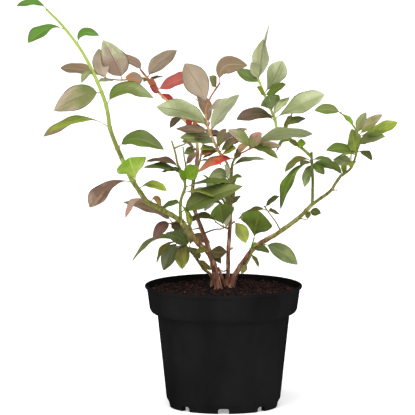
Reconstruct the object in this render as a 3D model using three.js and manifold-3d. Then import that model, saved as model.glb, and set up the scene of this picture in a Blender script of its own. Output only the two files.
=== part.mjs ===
// A young blueberry bush in a round nursery pot. Millimetres, +Z up, the origin under the middle of the pot.
//
// Pot and potting soil are turned about Z. Five stems stand on a flat cut at soil level, and each bough is
// one tapering limb. A shoot carries leaves: it grows from one stem, starts a hair clear of the limb that
// carries it, and keeps clear of everything that stands already. The leaves of a shoot are fused to its stem
// and twigs.
//
// Places on the plant are [across, away, height]: across and height as measured square to a line of sight
// that comes down on the bush from the front, and away as the depth behind the pot's axis.

import * as THREE from "three";
import { mergeVertices } from "three/addons/utils/BufferGeometryUtils.js";
import Module from "manifold-3d";

const wasm = await Module();
wasm.setup();

const { Vector3 } = THREE;
const UP = new Vector3(0, 0, 1);

// The line of sight that the places are measured along.
const SIGHT_TILT = (8.2 * Math.PI) / 180;
const SIGHT_DISTANCE = 20000;
const SIGHT_ACROSS = -19.2;
const SIGHT_HEIGHT = 238.6;
const TO_VIEWER = new Vector3(0, -Math.cos(SIGHT_TILT), Math.sin(SIGHT_TILT));

const GAP = 0.3;
const WELD = 1e-4;

// Pot: a 3 litre nursery container with a collar, a rolled rim and a notched foot.
const POT_SIDES = 36;
const RIM_RADIUS = 94.5;
const RIM_TOP = 147.5;
const LIP_HEIGHT = 3.4;
const COLLAR_TOP_RADIUS = 92;
const COLLAR_FOOT_RADIUS = 88.5;
const COLLAR_FOOT = 117.5;
const BODY_TOP_RADIUS = 79.5;
const BODY_TOP = 112.8;
const BODY_FOOT_RADIUS = 68.4;
const BODY_FOOT = 10.7;
const FOOT_TOP_RADIUS = 65.7;
const FOOT_RADIUS = 64.4;
const FOOT_INNER_RADIUS = 58;
const WALL = 1.5;
const SHOULDER = 3;
const FLOOR_CORNER = 2;
const EDGE = 1;
const FLOOR_UNDERSIDE = 7;
const FLOOR_TOP = 9;
const PAD_RADIUS = 14;
const NOTCHES = 8;
const NOTCH_WIDTH = 13;
const NOTCH_CHAMFER = 1.6;
const NOTCH_HEIGHT = 6.4;
const NOTCH_INNER_RADIUS = 51;
const NOTCH_OUTER_RADIUS = 71;
const DRAINS = 6;
const DRAIN_RADIUS = 4.5;
const DRAIN_SIDES = 12;
const DRAIN_RING = 42;
const OVERSHOOT = 3;

// Soil: level round the stems, and a little lower at the wall.
const SOIL_TOP = 143.5;
const SOIL_EDGE = 139.5;
const SOIL_LEVEL_RADIUS = 30;
const SOIL_SLOPE_RADIUS = 55;

// Limbs and twigs.
const LIMB_SIDES = 7;
const LIMB_STEP = 13;
const TWIG_SIDES = 4;
const TWIG_STEP = 15;
const FLARE = 0.45;
const FLARE_HEIGHT = 5;
const TWIG_RADIUS = [1.2, 0.8];

// Leaves are rooted on a stem or twig beyond this share of it, at places looked up in so many samples.
const BARE_SHARE = 1 / 15;
const STEM_SAMPLES = 60;
const TWIG_SAMPLES = 30;

// Leaves. A station is a share of the way from the leaf's root to its tip.
const STATIONS = [0, 0.09, 0.33, 0.66];
const PETIOLE_END = 0.09;
const PETIOLE_RADIUS = 0.65;
const LEAF_WIDTH = 0.43;
const LEAF_WIDTH_RANGE = [0.93, 1.07];
const LEAF_WIDTH_SPARE = 1.02;
const BLADE_SKEW = 0.9;
const BLADE_FULLNESS = 0.8;
const LEAF_THICKNESS = 0.022;
const LEAF_LEAST_THICKNESS = 0.9;
const LEAF_FOLD = 0.16;
const LEAF_FOLD_RANGE = [0.6, 1.4];
const LEAF_TWIST_RANGE = [-0.3, 0.3];
const LEAF_ARCH = 0.06;
const ARCH_LEAN = 0.4;
const STEEP = 0.94;

// Leaves by rule: shares of the stem between which they stand, angles, and the range of each random choice.
const GOLDEN_ANGLE = (137.5 * Math.PI) / 180;
const RULE_OPENING = (58 * Math.PI) / 180;
const RULE_SHARES = [0.18, 0.97];
const RULE_TURN_RANGE = [-0.4, 0.4];
const RULE_LENGTH_RANGE = [0.75, 1.15];
const RULE_TWIST_RANGE = [-0.4, 0.4];

const COLOURS = {
  pot: 0x1d1d1e,
  soil: 0x2b1a12,
  bark: 0x8a6448,
  green: 0x5f7f35,
  plum: 0x8a6a60,
};
const ROUGHNESS = { pot: 0.55, soil: 1, bark: 0.85, leaf: 0.6 };

// Each limb: its path, and its radius at the start and the tip. A stem's first place is its foot on the
// soil. A bough starts inside the limb that carries it, and is cut clear of it.
const LIMBS = [
  {
    name: "stem_left",
    foot: [-6, -9],
    radius: [3.9, 3.2],
    path: [[-9.5, -10, 160], [-17.5, -12, 184], [-28, -18, 193.5], [-40, -24, 208.5], [-52, -30, 223.5]],
  },
  {
    name: "bough_left",
    radius: [3.1, 2.8],
    path: [[-50, -29, 221.5], [-61, -34, 229], [-78, -42, 238], [-91, -48, 245], [-100, -53, 257],
      [-110, -57, 272], [-122.5, -62, 298.5]],
  },
  {
    name: "bough_centre_left",
    radius: [2.8, 1.7],
    path: [[-16, -12, 183], [-20.5, -4, 198], [-27.5, 8, 216], [-34, 17, 234], [-37, 25, 252],
      [-36, 36, 272], [-31, 50, 300], [-33, 66, 326]],
  },
  {
    name: "stem_centre",
    foot: [4, 6],
    radius: [2.4, 2],
    path: [[5.5, 7, 160], [5.8, 8, 188], [8.2, 9, 221], [8.7, 10, 245], [8.5, 10, 268], [10, 10, 286]],
  },
  {
    name: "stem_right",
    foot: [9, -4],
    radius: [3.5, 3],
    path: [[14, -6, 158], [23.5, -10, 172], [34, -15, 187.5]],
  },
  {
    name: "bough_right",
    radius: [3, 2.3],
    path: [[33, -14.6, 186.5], [43, -13, 194.8], [63, -6, 206.5], [85, 4, 222], [97, 10, 232.5],
      [107.5, 15, 244]],
  },
  {
    name: "bough_right_upright",
    radius: [1.8, 1.6],
    path: [[106.5, 14.5, 243], [107, 16, 258], [107, 18, 274], [106, 20, 292], [105.5, 20, 305]],
  },
  {
    name: "bough_right_outer",
    radius: [2, 1.7],
    path: [[105, 14, 241], [113.5, 13, 247.5], [129, 6, 259], [134, 1, 267], [141, -5, 277]],
  },
  {
    name: "stem_low_left",
    foot: [-13, 5],
    radius: [2, 1.6],
    path: [[-14, 7, 156], [-24, 17, 165.5], [-34, 27, 179.5], [-40, 34, 187]],
  },
  {
    name: "stem_back",
    foot: [2, 15],
    radius: [1.8, 1.5],
    path: [[-0.5, 17, 152], [-3, 19, 159], [-6.5, 21, 167]],
  },
];

// Each shoot of leaves: the path and radius of its stem, and any twigs that branch from it. A leaf is
// [root across, root height, tip across, tip height, how much further away the tip is, the width that the
// viewer sees, the rise of its arch, its skew]. A width below 0 shows the underside, and a skew over 1 sets
// the widest place nearer the tip. rule adds that many leaves of that length, but for those numbered in
// bare.
const SHOOTS = [
  {
    name: "leaves_left_arch",
    colour: "green",
    radius: [2.7, 1.4],
    path: [[-122, -61.7, 297.5], [-131, -70, 318.5], [-136.5, -78, 335], [-138.5, -83, 350],
      [-142, -87, 365], [-147.5, -91, 380], [-154.5, -96, 396.5], [-162, -101, 412], [-172, -107, 429],
      [-183, -112, 444], [-196, -117, 460], [-212, -122, 476]],
    leaves: [
      [-212, 476, -248.5, 480.3, -12, 8, 7],
      [-190, 449, -234.5, 436, -25, 12, 10, 1.4],
      [-171, 436, -149, 444.7, -15, 9, 10.5, 0.7],
      [-140, 362, -84, 370, 8, 17, 17],
      [-149, 377, -203.5, 354.5, -10, -29, 5, 0.8],
      [-156, 399, -170.5, 388, -18, 7, 7],
      [-150, 388, -132, 391, 14, 5],
      [-139, 332, -216, 323.5, -20, 10, 15, 1.5],
      [-125, 311, -71.5, 308, -18, 18, 12, 0.8],
    ],
  },
  {
    name: "leaves_left_heart",
    colour: "green",
    radius: [1.1, 0.7],
    path: [[-99, -52.5, 256], [-102, -60, 260.5], [-105, -67, 267.5]],
    leaves: [
      [-104.5, 267.5, -113.5, 298.5, -34, 38, 2, 2.2],
      [-107, 268, -160.5, 238.5, -20, 18.5, 12.5, 2],
      [-101, 261, -68, 258.5, -15, 8.5, 7, 1.1],
    ],
  },
  {
    name: "leaves_left_curled",
    colour: "plum",
    radius: [0.9, 0.6],
    path: [[-86, -45.8, 242.3], [-89, -54, 244.5], [-92, -60, 248]],
    leaves: [
      [-88, 244, -75, 239, -12, 6, 9],
      [-91, 248, -117.5, 226, -28, 6, 10],
    ],
  },
  {
    name: "leaves_left_low",
    colour: "plum",
    radius: [0.9, 0.7],
    path: [[-53, -30.5, 224], [-58, -20, 221.5], [-63, -12, 219.5]],
    leaves: [
      [-60, 218, -120.5, 244.8, -6, 14, 6.5, 0.6],
      [-62, 218, -84.5, 199.5, -16, 13.5, 5, 0.75],
      [-63, 220, -52, 212, -14, 11],
    ],
  },
  {
    name: "leaves_left_middle",
    colour: "green",
    radius: [2, 1.1],
    path: [[-51, -29.5, 223], [-52, -26, 236], [-51, -22, 248], [-46, -19, 264], [-49, -20, 277],
      [-55, -28, 291], [-58, -35, 305], [-62, -41, 318]],
    twigs: [
      [[-46, -20, 266], [-45, -24, 286], [-47, -25, 298], [-48.5, -25, 310]],
      [[-59, -37, 309], [-54, -36, 312], [-48, -34, 314], [-43, -32, 317]],
    ],
    leaves: [
      [-52.5, 245, -74.5, 238.5, 24, 8, 1],
      [-52, 231, 23, 264, -16, 23, 5, 0.7],
      [-50, 242, -40, 213, -12, 7, 5],
      [-46, 263, 9, 269, -14, 5, 3],
      [-45, 271, -29.5, 287.5, -24, 19],
      [-47, 274, -96, 286.5, -10, 6.5, 6.5],
      [-50, 288, -93.5, 294, 12, 7, 5],
      [-53, 281, -74.5, 281.5, 20, 6],
      [-47, 289, -31, 304, -15, 8, 2],
      [-48, 255, -4, 248.5, -22, 4.5, 5],
      [-45, 272, -53.5, 283, -20, 9, 0],
    ],
    rule: [3, 22],
    bare: [0, 2],
  },
  {
    name: "leaves_low_left",
    colour: "green",
    radius: [1.1, 0.7],
    path: [[-39.4, 33.4, 187], [-45, 40, 192], [-51, 47, 196], [-57, 54, 198]],
    leaves: [
      [-41, 192, -69.5, 208, 8, 15, 4, 0.8],
      [-50, 197, -110, 174, 15, 6.5, 15],
      [-53, 196, -80.5, 172, -20, 5.5, 8],
      [-55, 196, -72, 163, -10, -18],
      [-49, 196, -49.5, 164.5, -25, 18.5],
      [-45, 192, -29, 177, -32, 8],
      [-41, 189, -16, 196.5, -14, 10, 11],
    ],
    rule: [4, 34],
    bare: [2],
  },
  {
    name: "leaves_stem_left",
    colour: "green",
    radius: [0.9, 0.6],
    path: [[-10, -10.5, 162], [-13, -19, 165], [-15, -24, 176], [-17, -27, 188]],
    leaves: [
      [-16, 189, 4, 185.5, -16, 16, -2],
      [-17, 188, -34, 184, -14, 7],
      [-13.5, 166, -30, 175, -16, 7.5, -1],
      [-14, 187, -3, 171, -10, 9],
    ],
  },
  {
    name: "leaves_centre_low",
    colour: "green",
    radius: [1.1, 0.7],
    path: [[7.5, 8.6, 212], [3, -4, 214], [-3, -12, 217], [-9, -18, 221]],
    twigs: [[[5, 0, 213.5], [8, -4, 217], [12, -5, 221]]],
    leaves: [
      [-1, 215, -5, 243.5, -30, 29, 2, 1.4],
      [-8, 221, -45, 220, 2, 8, 8],
      [12, 221, 26.5, 196, -14, 16, 4, 1.1],
    ],
    rule: [2, 24],
    bare: [1],
  },
  {
    name: "leaves_centre_middle",
    colour: "green",
    radius: [0.9, 0.7],
    path: [[8.5, 10, 266], [7, 1, 268], [6, -6, 272]],
    leaves: [
      [6, 272, -17.5, 275, -12, 14, 6],
      [6, 272, 1, 290, -16, 6],
      [7, 271, 22, 275, -20, 4],
    ],
  },
  {
    name: "leaves_centre_right",
    colour: "plum",
    radius: [1.5, 0.7],
    path: [[9.9, 10, 284.6], [11, 6, 292], [15, -4, 299], [20, -14, 303], [26, -25, 306], [32, -36, 309]],
    leaves: [
      [11, 286, 50.5, 296.5, 12, 6, 3.5],
      [12, 297.5, -31, 280.5, -16, 10.5, 5.5, 0.65],
      [13, 298, 20, 308, 18, 5],
      [19, 303, 26, 318, 20, 7],
      [20, 302, 28, 317, -22, -10],
      [32, 309, 5, 331.8, -5, 13, 4],
      [31, 309, 46, 328.5, -20, 15],
      [31, 309, 69, 312, 14, 12, 3],
      [32, 309, 65.5, 297, -18, 8, 5],
      [32, 309, 107.5, 327, -14, -15.5, 8, 1.3],
    ],
    rule: [3, 24],
  },
  {
    name: "leaves_centre_top",
    colour: "plum",
    radius: [1.6, 1],
    path: [[8.8, 10, 279], [4, 8, 292], [-5, 2, 305], [-12.5, -10, 321], [-19, -18, 336], [-21, -25, 355],
      [-16, -29, 370], [-5, -34, 387]],
    leaves: [
      [-8, 308, -28.5, 300.5, -16, 8],
      [-7, 308, -28, 308, -22, 6],
      [-6, 306, -25, 298, 14, 6],
      [-11, 313, -52.5, 322, -12, 15, 5],
      [-8, 308, 3.5, 333.3, -16, 10.5],
      [-4, 305, 26, 323, -18, 9.5, 3],
      [-2, 302, 15, 309, -26, 7],
      [-8, 313, 29, 333, 12, -9],
      [-18, 329, -57.5, 333, 16, 10.5, 0],
      [-18, 331, -80.5, 359.5, -16, -24, 9, 1.2],
      [-15, 329, 19.5, 374, 15, -16, 4.5],
      [-20, 350, 7, 369, -18, 6, 3],
      [-21, 362, -46.5, 411.5, 14, -31, 2, 1.15],
      [-8, 382, -17, 396, -22, 10],
      [-5, 387, 29, 409, -14, 21, 14],
    ],
    rule: [5, 26],
    bare: [2, 4],
  },
  {
    name: "leaves_plum_middle",
    colour: "plum",
    radius: [0.9, 0.6],
    path: [[-31, 52, 304], [-32, 43, 306], [-34, 37, 309]],
    leaves: [
      [-33, 308, -47, 303, -20, 10],
      [-34, 309, -44, 316, -16, 4],
      [-31, 305, -32, 287, -12, 4],
    ],
  },
  {
    name: "leaves_plum_top",
    colour: "plum",
    radius: [1.8, 1.2],
    path: [[-32.8, 65, 324.5], [-40, 76, 336], [-49.5, 87, 346], [-66, 103, 365], [-78.5, 120, 377.5],
      [-85, 127, 386], [-93.5, 135, 396.5], [-99.5, 141, 404]],
    twigs: [[[-91, 133, 394], [-107, 122, 393], [-123, 110, 391.5], [-140, 100, 393]]],
    leaves: [
      [-48, 346, -64, 334, -18, 8, 4],
      [-38, 333, -45, 345, -22, 9],
      [-35, 331, -27.5, 336.5, -16, 7],
      [-77, 382, -36, 398, -14, 16, 1],
      [-78, 374.5, -59.5, 368, -12, 8.5, -1],
      [-78, 376, -88.5, 383.5, -18, 9, 1],
      [-79, 379, -92, 391, -24, 10],
      [-88, 392, -72, 396, 12, 4],
      [-91, 395, -56, 427.5, -10, -19, 3],
      [-122, 391, -144.5, 439.8, -16, -31, 2, 0.68],
      [-96, 399, -144.5, 411, 14, 12, 10.5, 0.7],
      [-140, 393, -196, 406, 6, 14, 4, 1.5],
      [-143, 395, -149.5, 429.5, 10, 21, -4],
      [-94, 391, -118, 394.5, -30, 16.5, -1],
      [-91, 394, -96, 389.5, -10, 5],
      [-37, 332, -31, 341, -20, 7],
    ],
    rule: [5, 30],
    bare: [0, 2, 3],
  },
  {
    name: "leaves_right_top",
    colour: "green",
    radius: [1.9, 1.3],
    path: [[106, 20, 299], [95, 32, 309], [81, 50, 320], [64, 69, 334], [62, 78, 344], [53.5, 96, 363],
      [48, 110, 377], [42, 124, 392]],
    twigs: [[[71, 61, 328], [76, 69, 335], [79, 76, 344], [82, 83, 351]]],
    leaves: [
      [57, 352, 53.5, 373.5, -36, 25, 2, 1.6],
      [62, 349, 79.5, 371, 12, 10, 3],
      [65, 345, 121.5, 374, -15, 22.5, 3, 1.3],
      [77, 336, 98.5, 346, 20, 10, 3],
      [72, 330, 82.5, 349, -14, 6],
      [62, 341, 15.5, 344, -15, 15, 9, 1.2],
      [87, 315, 63, 305, 14, 6, 9],
      [42, 392, 48, 441, 8, -20],
      [43, 388, 15.5, 404.5, 16, 14.5, 0],
      [49, 376, 70.5, 415, -10, -24, -2, 1.5],
      [50, 373, 75, 386.5, -24, 11, 0],
      [49, 372, 40, 383, -18, 6.5],
      [86, 314, 99, 315.5, -18, 11, 0],
      [90, 311, 79, 317, -20, 7],
      [42, 392, 54.6, 458.5, 4, 3],
      [42, 392, 33, 413, -6, 14],
    ],
    rule: [5, 30],
    bare: [0, 4],
  },
  {
    name: "leaves_right_whorl",
    colour: "green",
    radius: [1, 0.7],
    path: [[106.5, 19, 285], [106, 10, 290], [106, 4, 295]],
    leaves: [
      [105, 294, 68.5, 236.5, -22, 11, 11.5],
      [103, 291, 97, 263, -16, -11],
      [105, 294, 73.5, 281, -8, 8, 8],
      [105, 293, 92, 290, -24, 5],
      [107, 295, 131, 293.5, -14, 5, 3],
      [107, 292, 121, 278, -22, 11],
      [106, 290, 133, 284, -10, 9, 4],
    ],
    rule: [2, 22],
    bare: [0],
  },
  {
    name: "leaves_right_outer",
    colour: "green",
    radius: [1.7, 0.8],
    path: [[140.2, -4.5, 276.3], [145, -14, 279], [153, -29, 286], [158, -46, 298], [161, -62, 312],
      [163, -78, 326]],
    twigs: [[[162, -72, 322], [157, -72, 335], [149, -67, 344], [141, -62, 352]]],
    leaves: [
      [141, 277, 125, 293, -15, 8],
      [143, 278, 148, 290, -25, 9],
      [154, 288, 131.5, 296, -14, -14, 3],
      [159, 302, 136, 298, 16, 4, 3],
      [159, 303, 123, 307, -18, 12, 5],
      [158, 300, 153.5, 333, -20, 17],
      [162, 328, 171.5, 353, 12, -12],
      [163, 328, 191, 350, -15, 12, 1],
      [162, 324, 209, 341, 8, 14, -2, 1.3],
      [161, 312, 194, 323.5, -20, 13, 5],
      [159, 304, 178, 295, -22, 6, 6],
      [142, 353.5, 109, 355, -10, 12.5, 3],
      [157, 336, 142, 351, 8, 6],
    ],
    rule: [4, 24],
    bare: [2, 3],
  },
  {
    name: "leaves_right_low",
    colour: "green",
    radius: [1, 0.6],
    path: [[69, -3.4, 209.5], [63, 10, 221], [55.5, 24, 231], [49.5, 34, 239.5]],
    leaves: [
      [53, 236, 17, 224, 6, 6, 5],
      [54, 234, 67, 231, 20, 6],
      [50, 238, 67, 252, -12, 6.5, 2],
    ],
  },
  {
    name: "leaves_right_foot",
    colour: "green",
    radius: [1.1, 0.7],
    path: [[33, -14.7, 187], [33.5, -22, 190], [35, -28, 196], [36.5, -34, 201]],
    twigs: [[[33.5, -23, 191], [33.3, -26, 182], [28.5, -28, 172], [22.5, -30, 161]]],
    leaves: [
      [38.5, 200, 43, 234.5, -42, 39, 2, 1.6],
      [35, 191, 55, 184, -22, 8, 2],
      [33, 182, 42, 167, -12, 5],
      [27, 171, 22, 159, -8, 8],
      [34.5, 192, 40.5, 195.5, -10, 4],
    ],
  },
  {
    name: "leaves_right_hanging",
    colour: "green",
    radius: [0.9, 0.7],
    path: [[49, -11, 197], [48.5, -18, 195.5], [49, -23, 194]],
    leaves: [[48, 194, 89, 170, -16, 19, 3.5]],
  },
  {
    name: "leaves_right_fork",
    colour: "green",
    radius: [0.9, 0.7],
    path: [[99, 11, 233.5], [101, 3, 233], [103, -3, 233]],
    leaves: [
      [102, 233, 101, 225, -14, 7],
      [103, 232, 117, 231.5, -14, 10],
    ],
  },
  {
    name: "leaves_back",
    colour: "green",
    radius: [1.4, 0.7],
    path: [[9, 9, 222], [6, 30, 232], [0, 60, 247], [-7, 90, 264], [-12, 116, 281]],
    leaves: [
      [8, 224, 12, 240, 20, 5],
      [1, 246, -34, 251, 24, 12, 4],
      [-5, 259, -27, 242, 30, 12, 5],
      [-8, 270, 13, 261, 22, 10, 3],
      [3, 238, 20, 253, 26, 9, 2],
    ],
    rule: [11, 38],
    bare: [1, 6, 8, 10],
  },
  {
    name: "leaves_back_top",
    colour: "plum",
    radius: [1.2, 0.7],
    path: [[-35.5, 38.5, 276], [-29, 58, 292], [-24, 84, 316], [-17, 108, 340]],
    leaves: [
      [-24, 314, -50, 318, 22, 11, 4],
      [-18, 336, -58, 347, 20, 14, 6],
      [-18, 338, -35, 384, 16, 14, 4],
      [-21, 326, 6, 321, 24, 9, 3],
    ],
    rule: [9, 42],
    bare: [0, 2, 8],
  },
];

// A stream of numbers from 0 to 1 that is the same for the same seed, by the mulberry32 rule.
function seeded(seed) {
  let state = seed >>> 0;
  return () => {
    state = (state + 0x6d2b79f5) >>> 0;
    let mixed = Math.imul(state ^ (state >>> 15), state | 1);
    mixed ^= mixed + Math.imul(mixed ^ (mixed >>> 7), mixed | 61);
    return ((mixed ^ (mixed >>> 14)) >>> 0) / 2 ** 32;
  };
}

// The real point of a place that was measured along the line of sight.
function surveyed([across, away, height]) {
  const sine = Math.sin(SIGHT_TILT);
  const cosine = Math.cos(SIGHT_TILT);
  const seen = height - SIGHT_HEIGHT;
  const straight = seen * (1 + (away * cosine) / SIGHT_DISTANCE) - away * sine;
  const rise = straight / (cosine + (seen * sine) / SIGHT_DISTANCE);
  const spread = 1 + (away * cosine - rise * sine) / SIGHT_DISTANCE;
  const x = SIGHT_ACROSS + (across - SIGHT_ACROSS) * spread;
  return new Vector3(x, away, SIGHT_HEIGHT / cosine + rise);
}

function mix(a, b, share) {
  return a + (b - a) * share;
}

function within([low, high], random) {
  return mix(low, high, random());
}

// The part of vector that is square to direction, as a unit vector.
function squareTo(vector, direction) {
  return vector.clone().addScaledVector(direction, -vector.dot(direction)).normalize();
}

// A closed skin over rings of points. A ring of one point is a tip, and any other end is capped flat.
function skin(rings) {
  const positions = [];
  const index = [];
  const starts = [];
  for (const ring of rings) {
    starts.push(positions.length / 3);
    for (const point of ring) positions.push(point.x, point.y, point.z);
  }
  for (let r = 0; r + 1 < rings.length; r++) {
    const near = starts[r];
    const far = starts[r + 1];
    const sides = rings[r].length;
    for (let s = 0; s < sides; s++) {
      const next = (s + 1) % sides;
      if (rings[r + 1].length === 1) {
        index.push(near + s, near + next, far);
      } else {
        index.push(near + s, near + next, far + next, near + s, far + next, far + s);
      }
    }
  }
  const last = rings.length - 1;
  for (let s = 1; s + 1 < rings[0].length; s++) index.push(0, s + 1, s);
  for (let s = 1; s + 1 < rings[last].length; s++) {
    index.push(starts[last], starts[last] + s, starts[last] + s + 1);
  }
  const geometry = new THREE.BufferGeometry();
  geometry.setAttribute("position", new THREE.Float32BufferAttribute(positions, 3));
  geometry.setIndex(index);
  return geometry;
}

function solidOf(geometry) {
  const bare = geometry.clone();
  bare.deleteAttribute("normal");
  bare.deleteAttribute("uv");
  const merged = mergeVertices(bare, WELD);
  const corners = merged.index.array;
  const triangles = [];
  for (let i = 0; i < corners.length; i += 3) {
    const [a, b, c] = [corners[i], corners[i + 1], corners[i + 2]];
    if (a !== b && b !== c && c !== a) triangles.push(a, b, c);
  }
  const vertProperties = new Float32Array(merged.attributes.position.array);
  const triVerts = new Uint32Array(triangles);
  return new wasm.Manifold(new wasm.Mesh({ numProp: 3, vertProperties, triVerts }));
}

function geometryOf(solid) {
  const mesh = solid.getMesh();
  const geometry = new THREE.BufferGeometry();
  geometry.setAttribute("position", new THREE.Float32BufferAttribute(mesh.vertProperties, 3));
  geometry.setIndex(new THREE.Uint32BufferAttribute(mesh.triVerts, 1));
  return geometry;
}

// The largest piece of a solid: loose scraps are dropped, and a sealed hollow is filled.
function largest(solid) {
  const pieces = solid.decompose();
  return pieces.reduce((best, piece) => (piece.volume() > best.volume() ? piece : best));
}

function touches(a, b) {
  return !a.intersect(b).isEmpty();
}

function stepsOn(curve, step) {
  return Math.max(2, Math.round(curve.getLength() / step));
}

// The straight lines between the rings of a tube, which is where its leaves are rooted.
function spineOf(points, step) {
  const curve = new THREE.CatmullRomCurve3(points);
  const centres = curve.getSpacedPoints(stepsOn(curve, step));
  const spine = new THREE.CurvePath();
  for (let k = 1; k < centres.length; k++) spine.add(new THREE.LineCurve3(centres[k - 1], centres[k]));
  return spine;
}

// A tapering tube along a path, grown by grow all over. A stem's first ring lies level on its foot.
function tube(points, radius, sides, step, { grow = 0, level = false } = {}) {
  const curve = new THREE.CatmullRomCurve3(points);
  const length = curve.getLength();
  const steps = stepsOn(curve, step);
  const frames = curve.computeFrenetFrames(steps);
  const rings = [];
  for (let k = 0; k <= steps; k++) {
    const share = k / steps;
    const centre = curve.getPointAt(share);
    const tangent = frames.tangents[k];
    if (k === 0 && !level) centre.addScaledVector(tangent, -grow);
    if (k === steps) centre.addScaledVector(tangent, grow);
    const flare = level ? FLARE * Math.exp((-share * length) / FLARE_HEIGHT) : 0;
    const size = mix(radius[0], radius[1], share) * (1 + flare) + grow;
    const ring = [];
    for (let s = 0; s < sides; s++) {
      const angle = (2 * Math.PI * s) / sides;
      const point = centre.clone();
      point.addScaledVector(frames.normals[k], Math.cos(angle) * size);
      point.addScaledVector(frames.binormals[k], Math.sin(angle) * size);
      if (k === 0 && level) point.addScaledVector(tangent, (centre.z - point.z) / tangent.z);
      ring.push(point);
    }
    rings.push(ring);
  }
  return solidOf(skin(rings));
}

// Half the width of a leaf at a share of the way along its blade, for a whole width of 1.
function bladeHalfWidth(share, skew) {
  return 0.5 * Math.sin(Math.PI * share ** skew) ** BLADE_FULLNESS;
}

// One leaf from its root to its tip: a short petiole, then a blade folded up along its midrib. The midrib
// rises by arch over the straight line between them, and is highest nearer to the root by ARCH_LEAN.
function leafSolid({ root, tip, face, width, arch, skew, fold, twist }, grow = 0) {
  const chord = tip.clone().sub(root);
  const length = chord.length();
  const along = chord.clone().normalize();
  const rise = squareTo(Math.abs(along.z) < STEEP ? UP : TO_VIEWER, along);
  const thickness = Math.max(LEAF_LEAST_THICKNESS, LEAF_THICKNESS * length) + 2 * grow;
  const rings = STATIONS.map((share) => {
    const bend = share + ARCH_LEAN * share * (1 - share);
    const bending = 1 + ARCH_LEAN * (1 - 2 * share);
    const centre = root.clone().addScaledVector(chord, share);
    centre.addScaledVector(rise, arch * 4 * bend * (1 - bend));
    const tangent = chord.clone().addScaledVector(rise, arch * 4 * (1 - 2 * bend) * bending).normalize();
    const normal = squareTo(face, tangent).applyAxisAngle(tangent, twist * (share - 0.5));
    const side = new Vector3().crossVectors(normal, tangent);
    const blade = Math.max(0, (share - PETIOLE_END) / (1 - PETIOLE_END));
    const half = Math.max(PETIOLE_RADIUS, width * bladeHalfWidth(blade, skew)) + grow;
    const thick = blade > 0 ? thickness : 2 * (PETIOLE_RADIUS + grow);
    const lift = blade > 0 ? fold * half : 0;
    return [
      centre.clone().addScaledVector(side, half).addScaledVector(normal, lift),
      centre.clone().addScaledVector(normal, thick / 2),
      centre.clone().addScaledVector(side, -half).addScaledVector(normal, lift),
      centre.clone().addScaledVector(normal, -thick / 2),
    ];
  });
  rings.push([tip.clone().addScaledVector(along, grow)]);
  return solidOf(skin(rings));
}

// The way a blade's upper face looks, so that a viewer in front sees it seenWidth wide.
function faceSeen(along, seenWidth, width) {
  const square = squareTo(TO_VIEWER, along);
  const edge = new Vector3().crossVectors(along, square);
  if (edge.z < 0) edge.negate();
  const sine = Math.max(-1, Math.min(1, seenWidth / width));
  return edge.multiplyScalar(Math.sqrt(1 - sine * sine)).addScaledVector(square, sine);
}

// The point of the paths that lies nearest to a place measured in front of it.
function nearestOn(samples, across, height) {
  let best = samples[0];
  let least = Infinity;
  for (const sample of samples) {
    const distance = surveyed([across, sample.y, height]).distanceTo(sample);
    if (distance < least) {
      least = distance;
      best = sample;
    }
  }
  return best.clone();
}

// A leaf from its row in SHOOTS.
function placedLeaf([rootAcross, rootHeight, across, height, away, seenWidth, arch, skew], samples, random) {
  const root = nearestOn(samples, rootAcross, rootHeight);
  const tip = surveyed([across, root.y + away, height]);
  const chord = tip.clone().sub(root);
  const length = chord.length();
  const ownWidth = LEAF_WIDTH * length * within(LEAF_WIDTH_RANGE, random);
  const width = Math.max(ownWidth, Math.abs(seenWidth) * LEAF_WIDTH_SPARE);
  return {
    root,
    tip,
    width,
    face: faceSeen(chord.normalize(), seenWidth, width),
    arch: arch ?? LEAF_ARCH * length,
    skew: skew ?? BLADE_SKEW,
    fold: LEAF_FOLD * within(LEAF_FOLD_RANGE, random),
    twist: within(LEAF_TWIST_RANGE, random),
  };
}

// Leaf number k of count by the rule: leaves turn round the stem by the golden angle and open away from it.
function ruledLeaf(spine, k, count, size, random) {
  const share = mix(...RULE_SHARES, (k + 0.5) / count);
  const root = spine.getPoint(share);
  const tangent = spine.getTangent(share);
  const turn = k * GOLDEN_ANGLE + within(RULE_TURN_RANGE, random);
  const radial = squareTo(UP, tangent).applyAxisAngle(tangent, turn);
  const along = tangent.clone().multiplyScalar(Math.cos(RULE_OPENING));
  along.addScaledVector(radial, Math.sin(RULE_OPENING)).normalize();
  const length = size * within(RULE_LENGTH_RANGE, random);
  const tip = root.clone().addScaledVector(along, length);
  return {
    root,
    tip,
    width: LEAF_WIDTH * length,
    face: squareTo(UP, along),
    arch: LEAF_ARCH * length,
    skew: BLADE_SKEW,
    fold: LEAF_FOLD,
    twist: within(RULE_TWIST_RANGE, random),
  };
}

function meshOf(name, solid, colour, roughness) {
  const material = new THREE.MeshStandardMaterial({ color: colour, roughness, metalness: 0 });
  const mesh = new THREE.Mesh(geometryOf(solid), material);
  mesh.name = name;
  return mesh;
}

// A solid of revolution about Z from a profile of [radius, height] that starts and ends on the axis.
function turned(profile) {
  const geometry = new THREE.LatheGeometry(profile.map(([r, z]) => new THREE.Vector2(r, z)), POT_SIDES);
  geometry.rotateX(Math.PI / 2);
  return solidOf(geometry);
}

// The radius of the collar's inner wall at a height.
function collarInside(height) {
  const share = (height - COLLAR_FOOT - WALL) / (RIM_TOP - EDGE - COLLAR_FOOT - WALL);
  return mix(COLLAR_FOOT_RADIUS, COLLAR_TOP_RADIUS, share) - WALL;
}

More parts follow.
